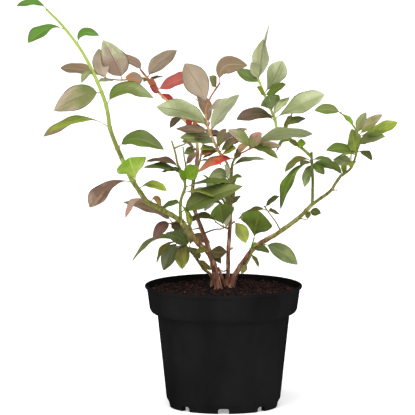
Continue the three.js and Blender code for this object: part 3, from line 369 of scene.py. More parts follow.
# Each shoot of leaves: the path and radius of its stem and any twigs that branch from it. A leaf is (tints,
# root across, root height, tip across, tip height, how much further away the tip is, the width that the
# viewer sees, the rise of its arch, its skew). Its tints are those of the side that the viewer sees, from
# root to tip. A width below 0 shows the underside, and a skew over 1 sets the widest place nearer the tip.
# rule adds that many leaves of that length, but for those whose numbers are in bare.
SHOOTS = [dict(
    name="left_arch", family="green", stem="lime", radius=(2.7, 1.4),
    path=[(-122, -61.7, 297.5), (-131, -70, 318.5), (-136.5, -78, 335), (-138.5, -83, 350),
          (-142, -87, 365), (-147.5, -91, 380), (-154.5, -96, 396.5), (-162, -101, 412),
          (-172, -107, 429), (-183, -112, 444), (-196, -117, 460), (-212, -122, 476)],
    leaves=[
        ("fresh", -212, 476, -248.5, 480.3, -12, 8, 7),
        ("fresh", -190, 449, -234.5, 436, -25, 12, 10, 1.4),
        ("fresh", -171, 436, -149, 444.7, -15, 9, 10.5, 0.7),
        ("green moss sage", -140, 362, -84, 370, 8, 17, 17),
        ("moss dusty", -149, 377, -203.5, 354.5, -10, -29, 5, 0.8),
        ("sage", -156, 399, -170.5, 388, -18, 7, 7),
        ("sage", -150, 388, -132, 391, 14, 5),
        ("bright yellow brown", -139, 332, -216, 323.5, -20, 10, 15, 1.5),
        ("green shade", -125, 311, -71.5, 308, -18, 18, 12, 0.8),
    ],
), dict(
    name="left_heart", family="green", stem="khaki", radius=(1.1, 0.7),
    path=[(-99, -52.5, 256), (-102, -60, 260.5), (-105, -67, 267.5)],
    leaves=[
        ("lime bright", -104.5, 267.5, -113.5, 298.5, -34, 38, 2, 2.2),
        ("plum plum mauve", -107, 268, -160.5, 238.5, -20, 18.5, 12.5, 2),
        ("green yellow", -101, 261, -68, 258.5, -15, 8.5, 7, 1.1),
    ],
), dict(
    name="left_curled", family="plum", stem="khaki", radius=(0.9, 0.6),
    path=[(-86, -45.8, 242.3), (-89, -54, 244.5), (-92, -60, 248)],
    leaves=[
        ("orange olive", -88, 244, -75, 239, -12, 6, 9),
        ("dusty pink", -91, 248, -117.5, 226, -28, 6, 10),
    ],
), dict(
    name="left_low", family="plum", stem="olive", radius=(0.9, 0.7),
    path=[(-53, -30.5, 224), (-58, -20, 221.5), (-63, -12, 219.5)],
    leaves=[
        ("plum brown mauve", -60, 218, -120.5, 244.8, -6, 14, 6.5, 0.6),
        ("plum wine", -62, 218, -84.5, 199.5, -16, 13.5, 5, 0.75),
        ("umber", -63, 220, -52, 212, -14, 11),
    ],
), dict(
    name="left_middle", family="green", stem="khaki", radius=(2.0, 1.1),
    path=[(-51, -29.5, 223), (-52, -26, 236), (-51, -22, 248), (-46, -19, 264), (-49, -20, 277),
          (-55, -28, 291), (-58, -35, 305), (-62, -41, 318)],
    twigs=[
        [(-46, -20, 266), (-45, -24, 286), (-47, -25, 298), (-48.5, -25, 310)],
        [(-59, -37, 309), (-54, -36, 312), (-48, -34, 314), (-43, -32, 317)],
    ],
    leaves=[
        ("green", -52.5, 245, -74.5, 238.5, 24, 8, 1),
        ("shade moss", -52, 231, 23, 264, -16, 23, 5, 0.7),
        ("green yellow olive", -50, 242, -40, 213, -12, 7, 5),
        ("deep green", -46, 263, 9, 269, -14, 5, 3),
        ("bright", -45, 271, -29.5, 287.5, -24, 19),
        ("green", -47, 274, -96, 286.5, -10, 6.5, 6.5),
        ("plum umber", -50, 288, -93.5, 294, 12, 7, 5),
        ("deep olive", -53, 281, -74.5, 281.5, 20, 6),
        ("plum brown", -47, 289, -31, 304, -15, 8, 2),
        ("yellow", -48, 255, -4, 248.5, -22, 4.5, 5),
        ("bright", -45, 272, -53.5, 283, -20, 9, 0),
    ],
    rule=(3, 22), bare=[0, 2],
), dict(
    name="low_left", family="green", stem="olive", radius=(1.1, 0.7),
    path=[(-39.4, 33.4, 187), (-45, 40, 192), (-51, 47, 196), (-57, 54, 198)],
    leaves=[
        ("deep shade", -41, 192, -69.5, 208, 8, 15, 4, 0.8),
        ("shade moss", -50, 197, -110, 174, 15, 6.5, 15),
        ("olive", -53, 196, -80.5, 172, -20, 5.5, 8),
        ("sage", -55, 196, -72, 163, -10, -18),
        ("olive yellow", -49, 196, -49.5, 164.5, -25, 18.5),
        ("olive", -45, 192, -29, 177, -32, 8),
        ("olive plum", -41, 189, -16, 196.5, -14, 10, 11),
    ],
    rule=(4, 34), bare=[2],
), dict(
    name="stem_left", family="green", stem="bark", radius=(0.9, 0.6),
    path=[(-10, -10.5, 162), (-13, -19, 165), (-15, -24, 176), (-17, -27, 188)],
    leaves=[
        ("umber", -16, 189, 4, 185.5, -16, 16, -2),
        ("olive deep", -17, 188, -34, 184, -14, 7),
        ("olive", -13.5, 166, -30, 175, -16, 7.5, -1),
        ("umber", -14, 187, -3, 171, -10, 9),
    ],
), dict(
    name="centre_low", family="green", stem="olive", radius=(1.1, 0.7),
    path=[(7.5, 8.6, 212), (3, -4, 214), (-3, -12, 217), (-9, -18, 221)],
    twigs=[
        [(5, 0, 213.5), (8, -4, 217), (12, -5, 221)],
    ],
    leaves=[
        ("shade green", -1, 215, -5, 243.5, -30, 29, 2, 1.4),
        ("olive", -8, 221, -45, 220, 2, 8, 8),
        ("khaki yellow", 12, 221, 26.5, 196, -14, 16, 4, 1.1),
    ],
    rule=(2, 24), bare=[1],
), dict(
    name="centre_middle", family="green", stem="khaki", radius=(0.9, 0.7),
    path=[(8.5, 10, 266), (7, 1, 268), (6, -6, 272)],
    leaves=[
        ("sage", 6, 272, -17.5, 275, -12, 14, 6),
        ("pale", 6, 272, 1, 290, -16, 6),
        ("green", 7, 271, 22, 275, -20, 4),
    ],
), dict(
    name="centre_right", family="plum", stem="rust", radius=(1.5, 0.7),
    path=[(9.9, 10, 284.6), (11, 6, 292), (15, -4, 299), (20, -14, 303), (26, -25, 306),
          (32, -36, 309)],
    leaves=[
        ("shade sage", 11, 286, 50.5, 296.5, 12, 6, 3.5),
        ("red orange pink", 12, 297.5, -31, 280.5, -16, 10.5, 5.5, 0.65),
        ("brown", 13, 298, 20, 308, 18, 5),
        ("moss pink", 19, 303, 26, 318, 20, 7),
        ("tan pink", 20, 302, 28, 317, -22, -10),
        ("moss dusty", 32, 309, 5, 331.8, -5, 13, 4),
        ("moss brown pink", 31, 309, 46, 328.5, -20, 15),
        ("olive brown dusty", 31, 309, 69, 312, 14, 12, 3),
        ("deep moss", 32, 309, 65.5, 297, -18, 8, 5),
        ("sage", 32, 309, 107.5, 327, -14, -15.5, 8, 1.3),
    ],
    rule=(3, 24),
), dict(
    name="centre_top", family="plum", stem="tan", radius=(1.6, 1.0),
    path=[(8.8, 10, 279), (4, 8, 292), (-5, 2, 305), (-12.5, -10, 321), (-19, -18, 336),
          (-21, -25, 355), (-16, -29, 370), (-5, -34, 387)],
    leaves=[
        ("olive orange", -8, 308, -28.5, 300.5, -16, 8),
        ("olive yellow", -7, 308, -28, 308, -22, 6),
        ("deep", -6, 306, -25, 298, 14, 6),
        ("sage moss", -11, 313, -52.5, 322, -12, 15, 5),
        ("moss brown", -8, 308, 3.5, 333.3, -16, 10.5),
        ("moss brown wine", -4, 305, 26, 323, -18, 9.5, 3),
        ("yellow", -2, 302, 15, 309, -26, 7),
        ("dusty", -8, 313, 29, 333, 12, -9),
        ("brown plum", -18, 329, -57.5, 333, 16, 10.5, 0),
        ("sage pale", -18, 331, -80.5, 359.5, -16, -24, 9, 1.2),
        ("pale", -15, 329, 19.5, 374, 15, -16, 4.5),
        ("dusty pale", -20, 350, 7, 369, -18, 6, 3),
        ("dusty", -21, 362, -46.5, 411.5, 14, -31, 2, 1.15),
        ("olive moss", -8, 382, -17, 396, -22, 10),
        ("brown", -5, 387, 29, 409, -14, 21, 14),
    ],
    rule=(5, 26), bare=[2, 4],
), dict(
    name="plum_middle", family="plum", stem="rust", radius=(0.9, 0.6),
    path=[(-31, 52, 304), (-32, 43, 306), (-34, 37, 309)],
    leaves=[
        ("moss sage", -33, 308, -47, 303, -20, 10),
        ("brown", -34, 309, -44, 316, -16, 4),
        ("wine pink", -31, 305, -32, 287, -12, 4),
    ],
), dict(
    name="plum_top", family="plum", stem="tan", radius=(1.8, 1.2),
    path=[(-32.8, 65, 324.5), (-40, 76, 336), (-49.5, 87, 346), (-66, 103, 365),
          (-78.5, 120, 377.5), (-85, 127, 386), (-93.5, 135, 396.5), (-99.5, 141, 404)],
    twigs=[
        [(-91, 133, 394), (-107, 122, 393), (-123, 110, 391.5), (-140, 100, 393)],
    ],
    leaves=[
        ("umber", -48, 346, -64, 334, -18, 8, 4),
        ("red rose", -38, 333, -45, 345, -22, 9),
        ("crimson", -35, 331, -27.5, 336.5, -16, 7),
        ("rose", -77, 382, -36, 398, -14, 16, 1),
        ("crimson", -78, 374.5, -59.5, 368, -12, 8.5, -1),
        ("rose crimson", -78, 376, -88.5, 383.5, -18, 9, 1),
        ("orange", -79, 379, -92, 391, -24, 10),
        ("umber", -88, 392, -72, 396, 12, 4),
        ("dusty", -91, 395, -56, 427.5, -10, -19, 3),
        ("mauve dusty pale", -122, 391, -144.5, 439.8, -16, -31, 2, 0.68),
        ("mauve", -96, 399, -144.5, 411, 14, 12, 10.5, 0.7),
        ("brown", -140, 393, -196, 406, 6, 14, 4, 1.5),
        ("dusty", -143, 395, -149.5, 429.5, 10, 21, -4),
        ("dusty orange", -94, 391, -118, 394.5, -30, 16.5, -1),
        ("olive", -91, 394, -96, 389.5, -10, 5),
        ("orange", -37, 332, -31, 341, -20, 7),
    ],
    rule=(5, 30), bare=[0, 2, 3],
), dict(
    name="right_top", family="green", stem="lime", radius=(1.9, 1.3),
    path=[(106, 20, 299), (95, 32, 309), (81, 50, 320), (64, 69, 334), (62, 78, 344),
          (53.5, 96, 363), (48, 110, 377), (42, 124, 392)],
    twigs=[
        [(71, 61, 328), (76, 69, 335), (79, 76, 344), (82, 83, 351)],
    ],
    leaves=[
        ("sage green", 57, 352, 53.5, 373.5, -36, 25, 2, 1.6),
        ("pale moss", 62, 349, 79.5, 371, 12, 10, 3),
        ("sage pale", 65, 345, 121.5, 374, -15, 22.5, 3, 1.3),
        ("moss deep", 77, 336, 98.5, 346, 20, 10, 3),
        ("olive", 72, 330, 82.5, 349, -14, 6),
        ("umber plum", 62, 341, 15.5, 344, -15, 15, 9, 1.2),
        ("green", 87, 315, 63, 305, 14, 6, 9),
        ("pale", 42, 392, 48, 441, 8, -20),
        ("green", 43, 388, 15.5, 404.5, 16, 14.5, 0),
        ("sage pale", 49, 376, 70.5, 415, -10, -24, -2, 1.5),
        ("green", 50, 373, 75, 386.5, -24, 11, 0),
        ("yellow", 49, 372, 40, 383, -18, 6.5),
        ("bright", 86, 314, 99, 315.5, -18, 11, 0),
        ("olive", 90, 311, 79, 317, -20, 7),
        ("pale", 42, 392, 54.6, 458.5, 4, 3),
        ("pale", 42, 392, 33, 413, -6, 14),
    ],
    rule=(5, 30), bare=[0, 4],
), dict(
    name="right_whorl", family="green", stem="khaki", radius=(1, 0.7),
    path=[(106.5, 19, 285), (106, 10, 290), (106, 4, 295)],
    leaves=[
        ("bright deep", 105, 294, 68.5, 236.5, -22, 11, 11.5),
        ("shade sage", 103, 291, 97, 263, -16, -11),
        ("olive moss", 105, 294, 73.5, 281, -8, 8, 8),
        ("olive", 105, 293, 92, 290, -24, 5),
        ("green", 107, 295, 131, 293.5, -14, 5, 3),
        ("green deep", 107, 292, 121, 278, -22, 11),
        ("green", 106, 290, 133, 284, -10, 9, 4),
    ],
    rule=(2, 22), bare=[0],
), dict(
    name="right_outer", family="green", stem="khaki", radius=(1.7, 0.8),
    path=[(140.2, -4.5, 276.3), (145, -14, 279), (153, -29, 286), (158, -46, 298), (161, -62, 312),
          (163, -78, 326)],
    twigs=[
        [(162, -72, 322), (157, -72, 335), (149, -67, 344), (141, -62, 352)],
    ],
    leaves=[
        ("green", 141, 277, 125, 293, -15, 8),
        ("olive yellow", 143, 278, 148, 290, -25, 9),
        ("moss shade", 154, 288, 131.5, 296, -14, -14, 3),
        ("yellow", 159, 302, 136, 298, 16, 4, 3),
        ("green", 159, 303, 123, 307, -18, 12, 5),
        ("yellow green", 158, 300, 153.5, 333, -20, 17),
        ("moss sage", 162, 328, 171.5, 353, 12, -12),
        ("khaki dusty", 163, 328, 191, 350, -15, 12, 1),
        ("green yellow", 162, 324, 209, 341, 8, 14, -2, 1.3),
        ("moss sage", 161, 312, 194, 323.5, -20, 13, 5),
        ("deep", 159, 304, 178, 295, -22, 6, 6),
        ("moss green", 142, 353.5, 109, 355, -10, 12.5, 3),
        ("bright", 157, 336, 142, 351, 8, 6),
    ],
    rule=(4, 24), bare=[2, 3],
), dict(
    name="right_low", family="green", stem="khaki", radius=(1, 0.6),
    path=[(69, -3.4, 209.5), (63, 10, 221), (55.5, 24, 231), (49.5, 34, 239.5)],
    leaves=[
        ("olive", 53, 236, 17, 224, 6, 6, 5),
        ("olive", 54, 234, 67, 231, 20, 6),
        ("deep", 50, 238, 67, 252, -12, 6.5, 2),
    ],
), dict(
    name="right_foot", family="green", stem="fresh", radius=(1.1, 0.7),
    path=[(33, -14.7, 187), (33.5, -22, 190), (35, -28, 196), (36.5, -34, 201)],
    twigs=[
        [(33.5, -23, 191), (33.3, -26, 182), (28.5, -28, 172), (22.5, -30, 161)],
    ],
    leaves=[
        ("deep green", 38.5, 200, 43, 234.5, -42, 39, 2, 1.6),
        ("deep", 35, 191, 55, 184, -22, 8, 2),
        ("olive", 33, 182, 42, 167, -12, 5),
        ("olive", 27, 171, 22, 159, -8, 8),
        ("bright", 34.5, 192, 40.5, 195.5, -10, 4),
    ],
), dict(
    name="right_hanging", family="green", stem="olive", radius=(0.9, 0.7),
    path=[(49, -11, 197), (48.5, -18, 195.5), (49, -23, 194)],
    leaves=[("deep shade moss", 48, 194, 89, 170, -16, 19, 3.5)],
), dict(
    name="right_fork", family="green", stem="khaki", radius=(0.9, 0.7),
    path=[(99, 11, 233.5), (101, 3, 233), (103, -3, 233)],
    leaves=[
        ("olive", 102, 233, 101, 225, -14, 7),
        ("deep", 103, 232, 117, 231.5, -14, 10),
    ],
), dict(
    name="back", family="green", stem="olive", radius=(1.4, 0.7),
    path=[(9, 9, 222), (6, 30, 232), (0, 60, 247), (-7, 90, 264), (-12, 116, 281)],
    leaves=[
        ("sage", 8, 224, 12, 240, 20, 5),
        ("green", 1, 246, -34, 251, 24, 12, 4),
        ("moss", -5, 259, -27, 242, 30, 12, 5),
        ("green", -8, 270, 13, 261, 22, 10, 3),
        ("deep", 3, 238, 20, 253, 26, 9, 2),
    ],
    rule=(11, 38), bare=[1, 6, 8, 10],
), dict(
    name="back_top", family="plum", stem="rust", radius=(1.2, 0.7),
    path=[(-35.5, 38.5, 276), (-29, 58, 292), (-24, 84, 316), (-17, 108, 340)],
    leaves=[
        ("moss", -24, 314, -50, 318, 22, 11, 4),
        ("green", -18, 336, -58, 347, 20, 14, 6),
        ("brown", -18, 338, -35, 384, 16, 14, 4),
        ("plum", -21, 326, 6, 321, 24, 9, 3),
    ],
    rule=(9, 42), bare=[0, 2, 8],
)]

# Dead twigs and stubs that stand on the limbs, each by its path and its radius at the start and the end.
DEAD_TWIGS = [
    (
        [(-24.5, 1, 207), (-16, 0, 210.5), (-9, -1, 212.5), (-3, -2, 212.8), (3, -3, 215.5), (6, -4, 218)],
        (1.1, 0.7),
    ),
    ([(-27, 7, 214.5), (-33, 4, 213), (-39, 1, 212.2)], (1, 0.6)),
    ([(88, 5.5, 224.5), (94, 3, 225), (101.4, 0, 223.6)], (0.9, 0.5)),
    ([(6.5, 8, 188), (9, 5, 189), (10.5, 3, 190)], (1.4, 1.1)),
    ([(5, 6, 164), (0, 3, 162), (-4.5, 1, 164)], (1, 0.6)),
    ([(129, 5.5, 259), (133, 3, 259.6), (136.4, 2, 259.3)], (0.9, 0.7)),
]

MASK = 0xFFFFFFFF


def seeded(seed):
    """A stream of numbers from 0 to 1 that is the same for the same seed, by the mulberry32 rule."""
    state = seed

    def draw():
        nonlocal state
        state = (state + 0x6D2B79F5) & MASK
        mixed = ((state ^ (state >> 15)) * (state | 1)) & MASK
        mixed ^= (mixed + (mixed ^ (mixed >> 7)) * (mixed | 61)) & MASK
        return (mixed ^ (mixed >> 14)) / 2**32

    return draw


def mix(a, b, share):
    return a + (b - a) * share


def clamped(value, low=0, high=1):
    return max(low, min(high, value))


def within(limits, random):
    return mix(limits[0], limits[1], random())


def surveyed(place):
    """The real point, in millimetres, of a place that was measured along the line of sight."""
    across, away, height = place
    sine, cosine = math.sin(SIGHT_TILT), math.cos(SIGHT_TILT)
    seen = height - SIGHT_HEIGHT
    straight = seen * (1 + away * cosine / SIGHT_DISTANCE) - away * sine
    rise = straight / (cosine + seen * sine / SIGHT_DISTANCE)
    spread = 1 + (away * cosine - rise * sine) / SIGHT_DISTANCE
    x = SIGHT_ACROSS + (across - SIGHT_ACROSS) * spread
    return Vector((x, away, SIGHT_HEIGHT / cosine + rise))


def square_to(vector, direction):
    """The part of vector that is square to direction, as a unit vector."""
    return (vector - direction * vector.dot(direction)).normalized()


def upward_from(direction):
    """A unit vector square to direction that points up, or at the viewer where direction is steep."""
    return square_to(UP if abs(direction.z) < STEEP else TO_VIEWER, direction)


class Line:
    """Straight lines through points, read by the share of its length."""

    def __init__(self, points):
        self.points = points
        self.lengths = [0]
        for near, far in zip(points, points[1:]):
            self.lengths.append(self.lengths[-1] + (far - near).length)
        self.length = self.lengths[-1]

    def segment(self, share):
        """The number of the straight line that holds a share of the length, and that length."""
        goal = clamped(share) * self.length
        low, high = 0, len(self.points) - 2
        while low < high:
            middle = (low + high) // 2
            if self.lengths[middle + 1] < goal:
                low = middle + 1
            else:
                high = middle
        return low, goal

    def at(self, share):
        k, goal = self.segment(share)
        run = self.lengths[k + 1] - self.lengths[k]
        return self.points[k].lerp(self.points[k + 1], (goal - self.lengths[k]) / run)

    def tangent(self, share):
        k, _ = self.segment(share)
        return (self.points[k + 1] - self.points[k]).normalized()

    def nearest_share(self, point):
        shares = (k / NEAREST_STEPS for k in range(NEAREST_STEPS + 1))
        return min(shares, key=lambda share: (self.at(share) - point).length)

    def distance(self, point):
        return (self.at(self.nearest_share(point)) - point).length


def smooth_line(points):
    """A centripetal Catmull-Rom curve through points, as a fine line."""
    padded = [points[0] * 2 - points[1], *points, points[-1] * 2 - points[-2]]
    spans = len(points) - 1
    places = []
    for i in range(CURVE_SAMPLES + 1):
        place = spans * i / CURVE_SAMPLES
        k = min(int(place), spans - 1)
        places.append(catmull_rom(padded[k : k + 4], place - k))
    return Line(places)


def catmull_rom(four, t):
    """The point at t, from 0 to 1, between the second and the third of four points."""
    a, b, c, d = four
    first = (b - a).length ** 0.5
    middle = (c - b).length ** 0.5
    last = (d - c).length ** 0.5
    leave = ((b - a) / first - (c - a) / (first + middle) + (c - b) / middle) * middle
    arrive = ((c - b) / middle - (d - b) / (middle + last) + (d - c) / last) * middle
    cubic = b * 2 - c * 2 + leave + arrive
    square = c * 3 - b * 3 - leave * 2 - arrive
    return b + leave * t + square * t**2 + cubic * t**3


def steps_on(line, step):
    return max(2, int(line.length / step + 0.5))


def coarse_line(line):
    """The straight lines on which the source roots its leaves."""
    steps = steps_on(line, TWIG_STEP)
    return Line([line.at(k / steps) for k in range(steps + 1)])


def plain(colour):
    """An sRGB colour from 0 to 255 as Blender's linear RGBA."""
    parts = []
    for value in colour:
        share = value / 255
        parts.append(share / 12.92 if share <= 0.04045 else ((share + 0.055) / 1.055) ** 2.4)
    return (*parts, 1)


def shaded(first, second, share):
    return tuple(round(mix(a, b, share)) for a, b in zip(first, second))


def colour_along(colours, place):
    """The colour at a place in a row of colours, where whole numbers are the colours themselves."""
    k = min(int(place), len(colours) - 2)
    return shaded(colours[k], colours[k + 1], place - k)


def set_inputs(tree, node, inputs):
    """Gives a node's inputs their values, or links them to the outputs of other nodes."""
    for name, value in inputs.items():
        if isinstance(value, bpy.types.NodeSocket):
            tree.links.new(value, node.inputs[name])
        else:
            node.inputs[name].default_value = value


def set_shader(material, inputs):
    set_inputs(material.node_tree, material.node_tree.nodes["Principled BSDF"], inputs)


def add_node(material, kind, inputs):
    node = material.node_tree.nodes.new(kind)
    set_inputs(material.node_tree, node, inputs)
    return node


def noise_over(material, scale, detail, stretch):
    """Noise over the object's own place, in metres, with its scale stretched along each axis."""
    place = add_node(material, "ShaderNodeTexCoord", {}).outputs["Object"]
    mapping = add_node(material, "ShaderNodeMapping", {"Vector": place, "Scale": stretch})
    inputs = {"Vector": mapping.outputs["Vector"], "Scale": scale, "Detail": detail}
    return add_node(material, "ShaderNodeTexNoise", inputs).outputs["Fac"]


def colour_over(material, value, stops):
    """The colour of a ramp over value, with stops of (value, colour)."""
    ramp = add_node(material, "ShaderNodeValToRGB", {"Fac": value})
    elements = ramp.color_ramp.elements
    # A new ramp already has two elements.
    for k, (place, colour) in enumerate(stops):
        element = elements[k] if k < 2 else elements.new(place)
        element.position = place
        element.color = plain(colour)
    return ramp.outputs["Color"]


def new_material(name):
    material = bpy.data.materials.new(name)
    material.use_nodes = True
    return material


def finished(name, kind):
    """A new material with the finish of its kind, and its grain."""
    finish = FINISHES[kind]
    material = new_material(name)
    grain = noise_over(material, *finish["grain"])
    strength, distance = finish["relief"]
    inputs = {"Height": grain, "Strength": strength, "Distance": distance}
    relief = add_node(material, "ShaderNodeBump", inputs).outputs["Normal"]
    shine = {"Roughness": finish["roughness"], "Specular IOR Level": finish["gloss"]}
    set_shader(material, {**shine, "Normal": relief})
    return material, grain


def plain_material(kind, colour):
    """One plain colour under a fine grain."""
    material, _ = finished("%s_%d_%d_%d" % (kind, *colour), kind)
    set_shader(material, {"Base Color": plain(colour)})
    return material


def bark_material(kind, colour):
    """Streaks of darker and lighter bark round its own colour."""
    material, streaks = finished("bark_%d_%d_%d" % colour, kind)
    colours = [shaded(colour, *BARK_DARK), shaded(colour, *BARK_LIGHT), colour]
    set_shader(material, {"Base Color": colour_over(material, streaks, zip(BARK_VALUES, colours))})
    return material


def pot_material(kind, _):
    """Matte black plastic with a fine moulded grain."""
    material, _ = finished("black_plastic", kind)
    clouds = noise_over(material, *POT_CLOUDS)
    set_shader(material, {"Base Color": colour_over(material, clouds, POT_COLOURS)})
    return material


def soil_material(kind, _):
    """Dark moist peat, with redder and paler crumbs."""
    material, crumbs = finished("peat", kind)
    set_shader(material, {"Base Color": colour_over(material, crumbs, SOIL_COLOURS)})
    return material


MAKERS = {
    "leaf": plain_material,
    "stem": plain_material,
    "bark": bark_material,
    "pot": pot_material,
    "soil": soil_material,
}
POT_LOOK = ("pot", ())
SOIL_LOOK = ("soil", ())
materials = {}


def material_for(look):
    """The one material of a (kind, colour). Pot and soil need no colour."""
    if look not in materials:
        kind, colour = look
        materials[look] = MAKERS[kind](kind, colour)
    return materials[look]


class Piece:
    """Points in millimetres, faces and the look of each face, gathered into one mesh object."""

    def __init__(self):
        self.points = []
        self.faces = []
        self.looks = []

    def point(self, place):
        self.points.append(place * MM)
        return len(self.points) - 1

    def ring(self, centre, first, second, sides, size):
        """Points round a centre. size gives the radius at an angle from first towards second."""
        numbers = []
        for angle in angles_round(sides):
            out = first * math.cos(angle) + second * math.sin(angle)
            numbers.append(self.point(centre + out * size(angle)))
        return numbers

    def face(self, corners, look):
        """A face through points by their numbers, where some may come twice."""
        corners = tuple(dict.fromkeys(corners))
        if len(corners) > 2:
            self.faces.append(corners)
            self.looks.append(look)

    def band(self, near, far, look_at):
        """Faces between two closed rings of as many points. look_at gives the look at an angle."""
        count = len(near)
        for s, angle in enumerate(angles_round(count)):
            t = (s + 1) % count
            self.face((near[s], near[t], far[t], far[s]), look_at(angle))

    def mesh(self, name):
        """A mesh of all the faces, with a material for each look."""
        mesh = bpy.data.meshes.new(name)
        mesh.from_pydata(self.points, [], self.faces)
        order = sorted(set(self.looks))
        for look in order:
            mesh.materials.append(material_for(look))
        numbers = {look: k for k, look in enumerate(order)}
        mesh.polygons.foreach_set("material_index", [numbers[look] for look in self.looks])
        mesh.polygons.foreach_set("use_smooth", [True] * len(self.faces))
        mesh.update()
        return mesh

    def made(self, name, nodes, slot):
        """The mesh as an object in the scene, which rides on the one body and stands for these solids."""
        piece = bpy.data.objects.new(name, self.mesh(name))
        bpy.context.scene.collection.objects.link(piece)
        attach(piece, "root")
        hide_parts(*nodes)
        return piece


def angles_round(count, turn=0):
    """As many angles, evenly spaced all round, and turned by a share of their spacing."""
    return [2 * math.pi * (k + turn) / count for k in range(count)]


def rings_of(line, steps):
    """Shares, centres and two cross directions along a line, without twist."""
    across = upward_from(line.tangent(0))
    for k in range(steps + 1):
        share = k / steps
        tangent = (line.at(share + 0.5 / steps) - line.at(share - 0.5 / steps)).normalized()
        across = square_to(across, tangent)
        yield share, line.at(share), across, tangent.cross(across)


def add_tube(piece, line, steps, sides, size, look):
    """A closed tube. size gives its radius, and look its look, at (share, angle)."""
    last = None
    for share, centre, first, second in rings_of(line, steps):
        ring = piece.ring(centre, first, second, sides, lambda angle: size(share, angle))
        if last is None:
            piece.face(reversed(ring), look(share, 0))
        else:
            piece.band(last, ring, lambda angle: look(share, angle))
        last = ring
    piece.face(last, look(1, 0))


def tint_along(tints, share):
    """The colour at a share of the way through a row of tints, in steps."""
    place = round(share * (len(tints) - 1) * (SHADES - 1)) / (SHADES - 1)
    return colour_along([TINTS[tint] for tint in tints], place)


def limb_line(limb):
    """A limb's curve. A stem's starts under the soil."""
    points = [surveyed(place) for place in limb["path"]]
    if "foot" not in limb:
        return smooth_line(points)
    x, y = limb["foot"]
    line = smooth_line([Vector((x, y, SOIL_TOP + GAP)), *points])
    return Line([line.points[0] - line.tangent(0) * SUNK, *line.points])


def joint_swelling(along, angle):
    """How much a limb swells round its nearest joint, as a share of its radius."""
    off_joint = (along + JOINT_LEAD) % JOINT_STEP - JOINT_LEAD
    facing = max(0, math.cos(angle - JOINT_TURN * round(along / JOINT_STEP)))
    return math.exp(-(off_joint**2) / JOINT_SPREAD) * (JOINT_SWELLING + SCAR_SWELLING * facing**3)


def make_limb(number, limb):
    """A limb with ridged bark and leaf scars at its joints. A stem's foot flares."""
    line = limb_line(limb)
    old_bark = limb["tints"][0] == "bark"
    relief = BARK_RELIEF * (OLD_RELIEF if old_bark else YOUNG_RELIEF)

    def size(share, angle):
        along = share * line.length
        radius = mix(*limb["radius"], share)
        if "foot" in limb:
            radius *= 1 + FLARE * math.exp(-max(0, along - SUNK) / FLARE_HEIGHT)
        x, y = RIDGES_ROUND * math.cos(angle), RIDGES_ROUND * math.sin(angle)
        place = Vector((x, y, along * RIDGES_ALONG + RIDGES_APART * number))
        ridges = relief * noise.fractal(place, *RIDGE_ROUGHNESS) * (1 - RELIEF_FADE * share)
        return radius * (1 + ridges + joint_swelling(along, angle))

    def look(share, angle):
        place = Vector((math.cos(angle), math.sin(angle), share * line.length * TINTS_ALONG + number))
        wander = TINT_WANDER * noise.noise(place * TINT_PATCHES)
        colour = tint_along(limb["tints"], clamped(share + wander))
        if old_bark and noise.noise(place * PEELED_PATCHES) > PEELED_OVER:
            colour = shaded(colour, TINTS["torn"], PEELED_SHARE)
        return "bark", colour

    piece = Piece()
    add_tube(piece, line, steps_on(line, LIMB_RING_STEP), LIMB_SIDES, size, look)
    piece.made("bark_" + limb["name"], [limb["name"]], "bark")


def add_twig(piece, line, radius, tints, joints):
    """A smooth twig that swells at its joints, which are given by their shares of its length."""

    def size(share, angle):
        offs = [(share - joint) * line.length for joint in joints]
        swelling = min(1, sum(math.exp(-(off**2) / TWIG_JOINT_SPREAD) for off in offs))
        return mix(*radius, share) * (1 + TWIG_SWELLING * swelling)

    steps = steps_on(line, TWIG_RING_STEP)
    add_tube(piece, line, steps, TWIG_SIDES, size, lambda share, angle: ("stem", tint_along(tints, share)))


def add_bud(piece, root, direction, colour, scale=1.0):
    """A small pointed bud."""
    line = Line([root, root + direction * (BUD_LENGTH * scale)])

    def size(share, angle):
        return BUD_RADIUS * scale * (BUD_TIP + math.sin(math.pi * mix(*BUD_CURVE, share)))

    add_tube(piece, line, BUD_STEPS, BUD_SIDES, size, lambda *_: ("stem", colour))


def make_dead_twigs():
    """The dead twigs, each with a knob at its end."""
    piece = Piece()
    for path, radius in DEAD_TWIGS:
        line = smooth_line([surveyed(place) for place in path])
        add_twig(piece, line, radius, DEAD_TINTS, [1])
    piece.made("dead_twigs", ["bough_centre_left"], "bark")


def blade_half_width(share, skew):
    """Half the width of a leaf at a share of the way along its blade, for a whole width of 1."""
    return 0.5 * math.sin(math.pi * share**skew) ** BLADE_FULLNESS if 0 < share < 1 else 0


class Leaf:
    """Where one leaf lies: its root, tip, width and the way that its upper face looks."""

    def __init__(self, root, tip, width, face, arch, skew, fold, twist):
        self.root = root
        self.tip = tip
        self.chord = tip - root
        self.width = width
        self.face = face
        self.arch = arch
        self.skew = skew
        self.fold = fold
        self.twist = twist
        self.rise = upward_from(self.chord.normalized())

    def frame(self, share):
        """The midrib's point at a share of the leaf, and the leaf's normal and side there."""
        # The middle, where bend * (1 - bend) is a quarter, rises by the whole arch.
        rise = self.arch * 4
        bend = share + ARCH_LEAN * share * (1 - share)
        bending = 1 + ARCH_LEAN * (1 - 2 * share)
        centre = self.root + self.chord * share + self.rise * (rise * bend * (1 - bend))
        tangent = (self.chord + self.rise * (rise * (1 - 2 * bend) * bending)).normalized()
        normal = square_to(self.face, tangent)
        normal.rotate(Quaternion(tangent, self.twist * (share - 0.5)))
        return centre, normal, normal.cross(tangent)


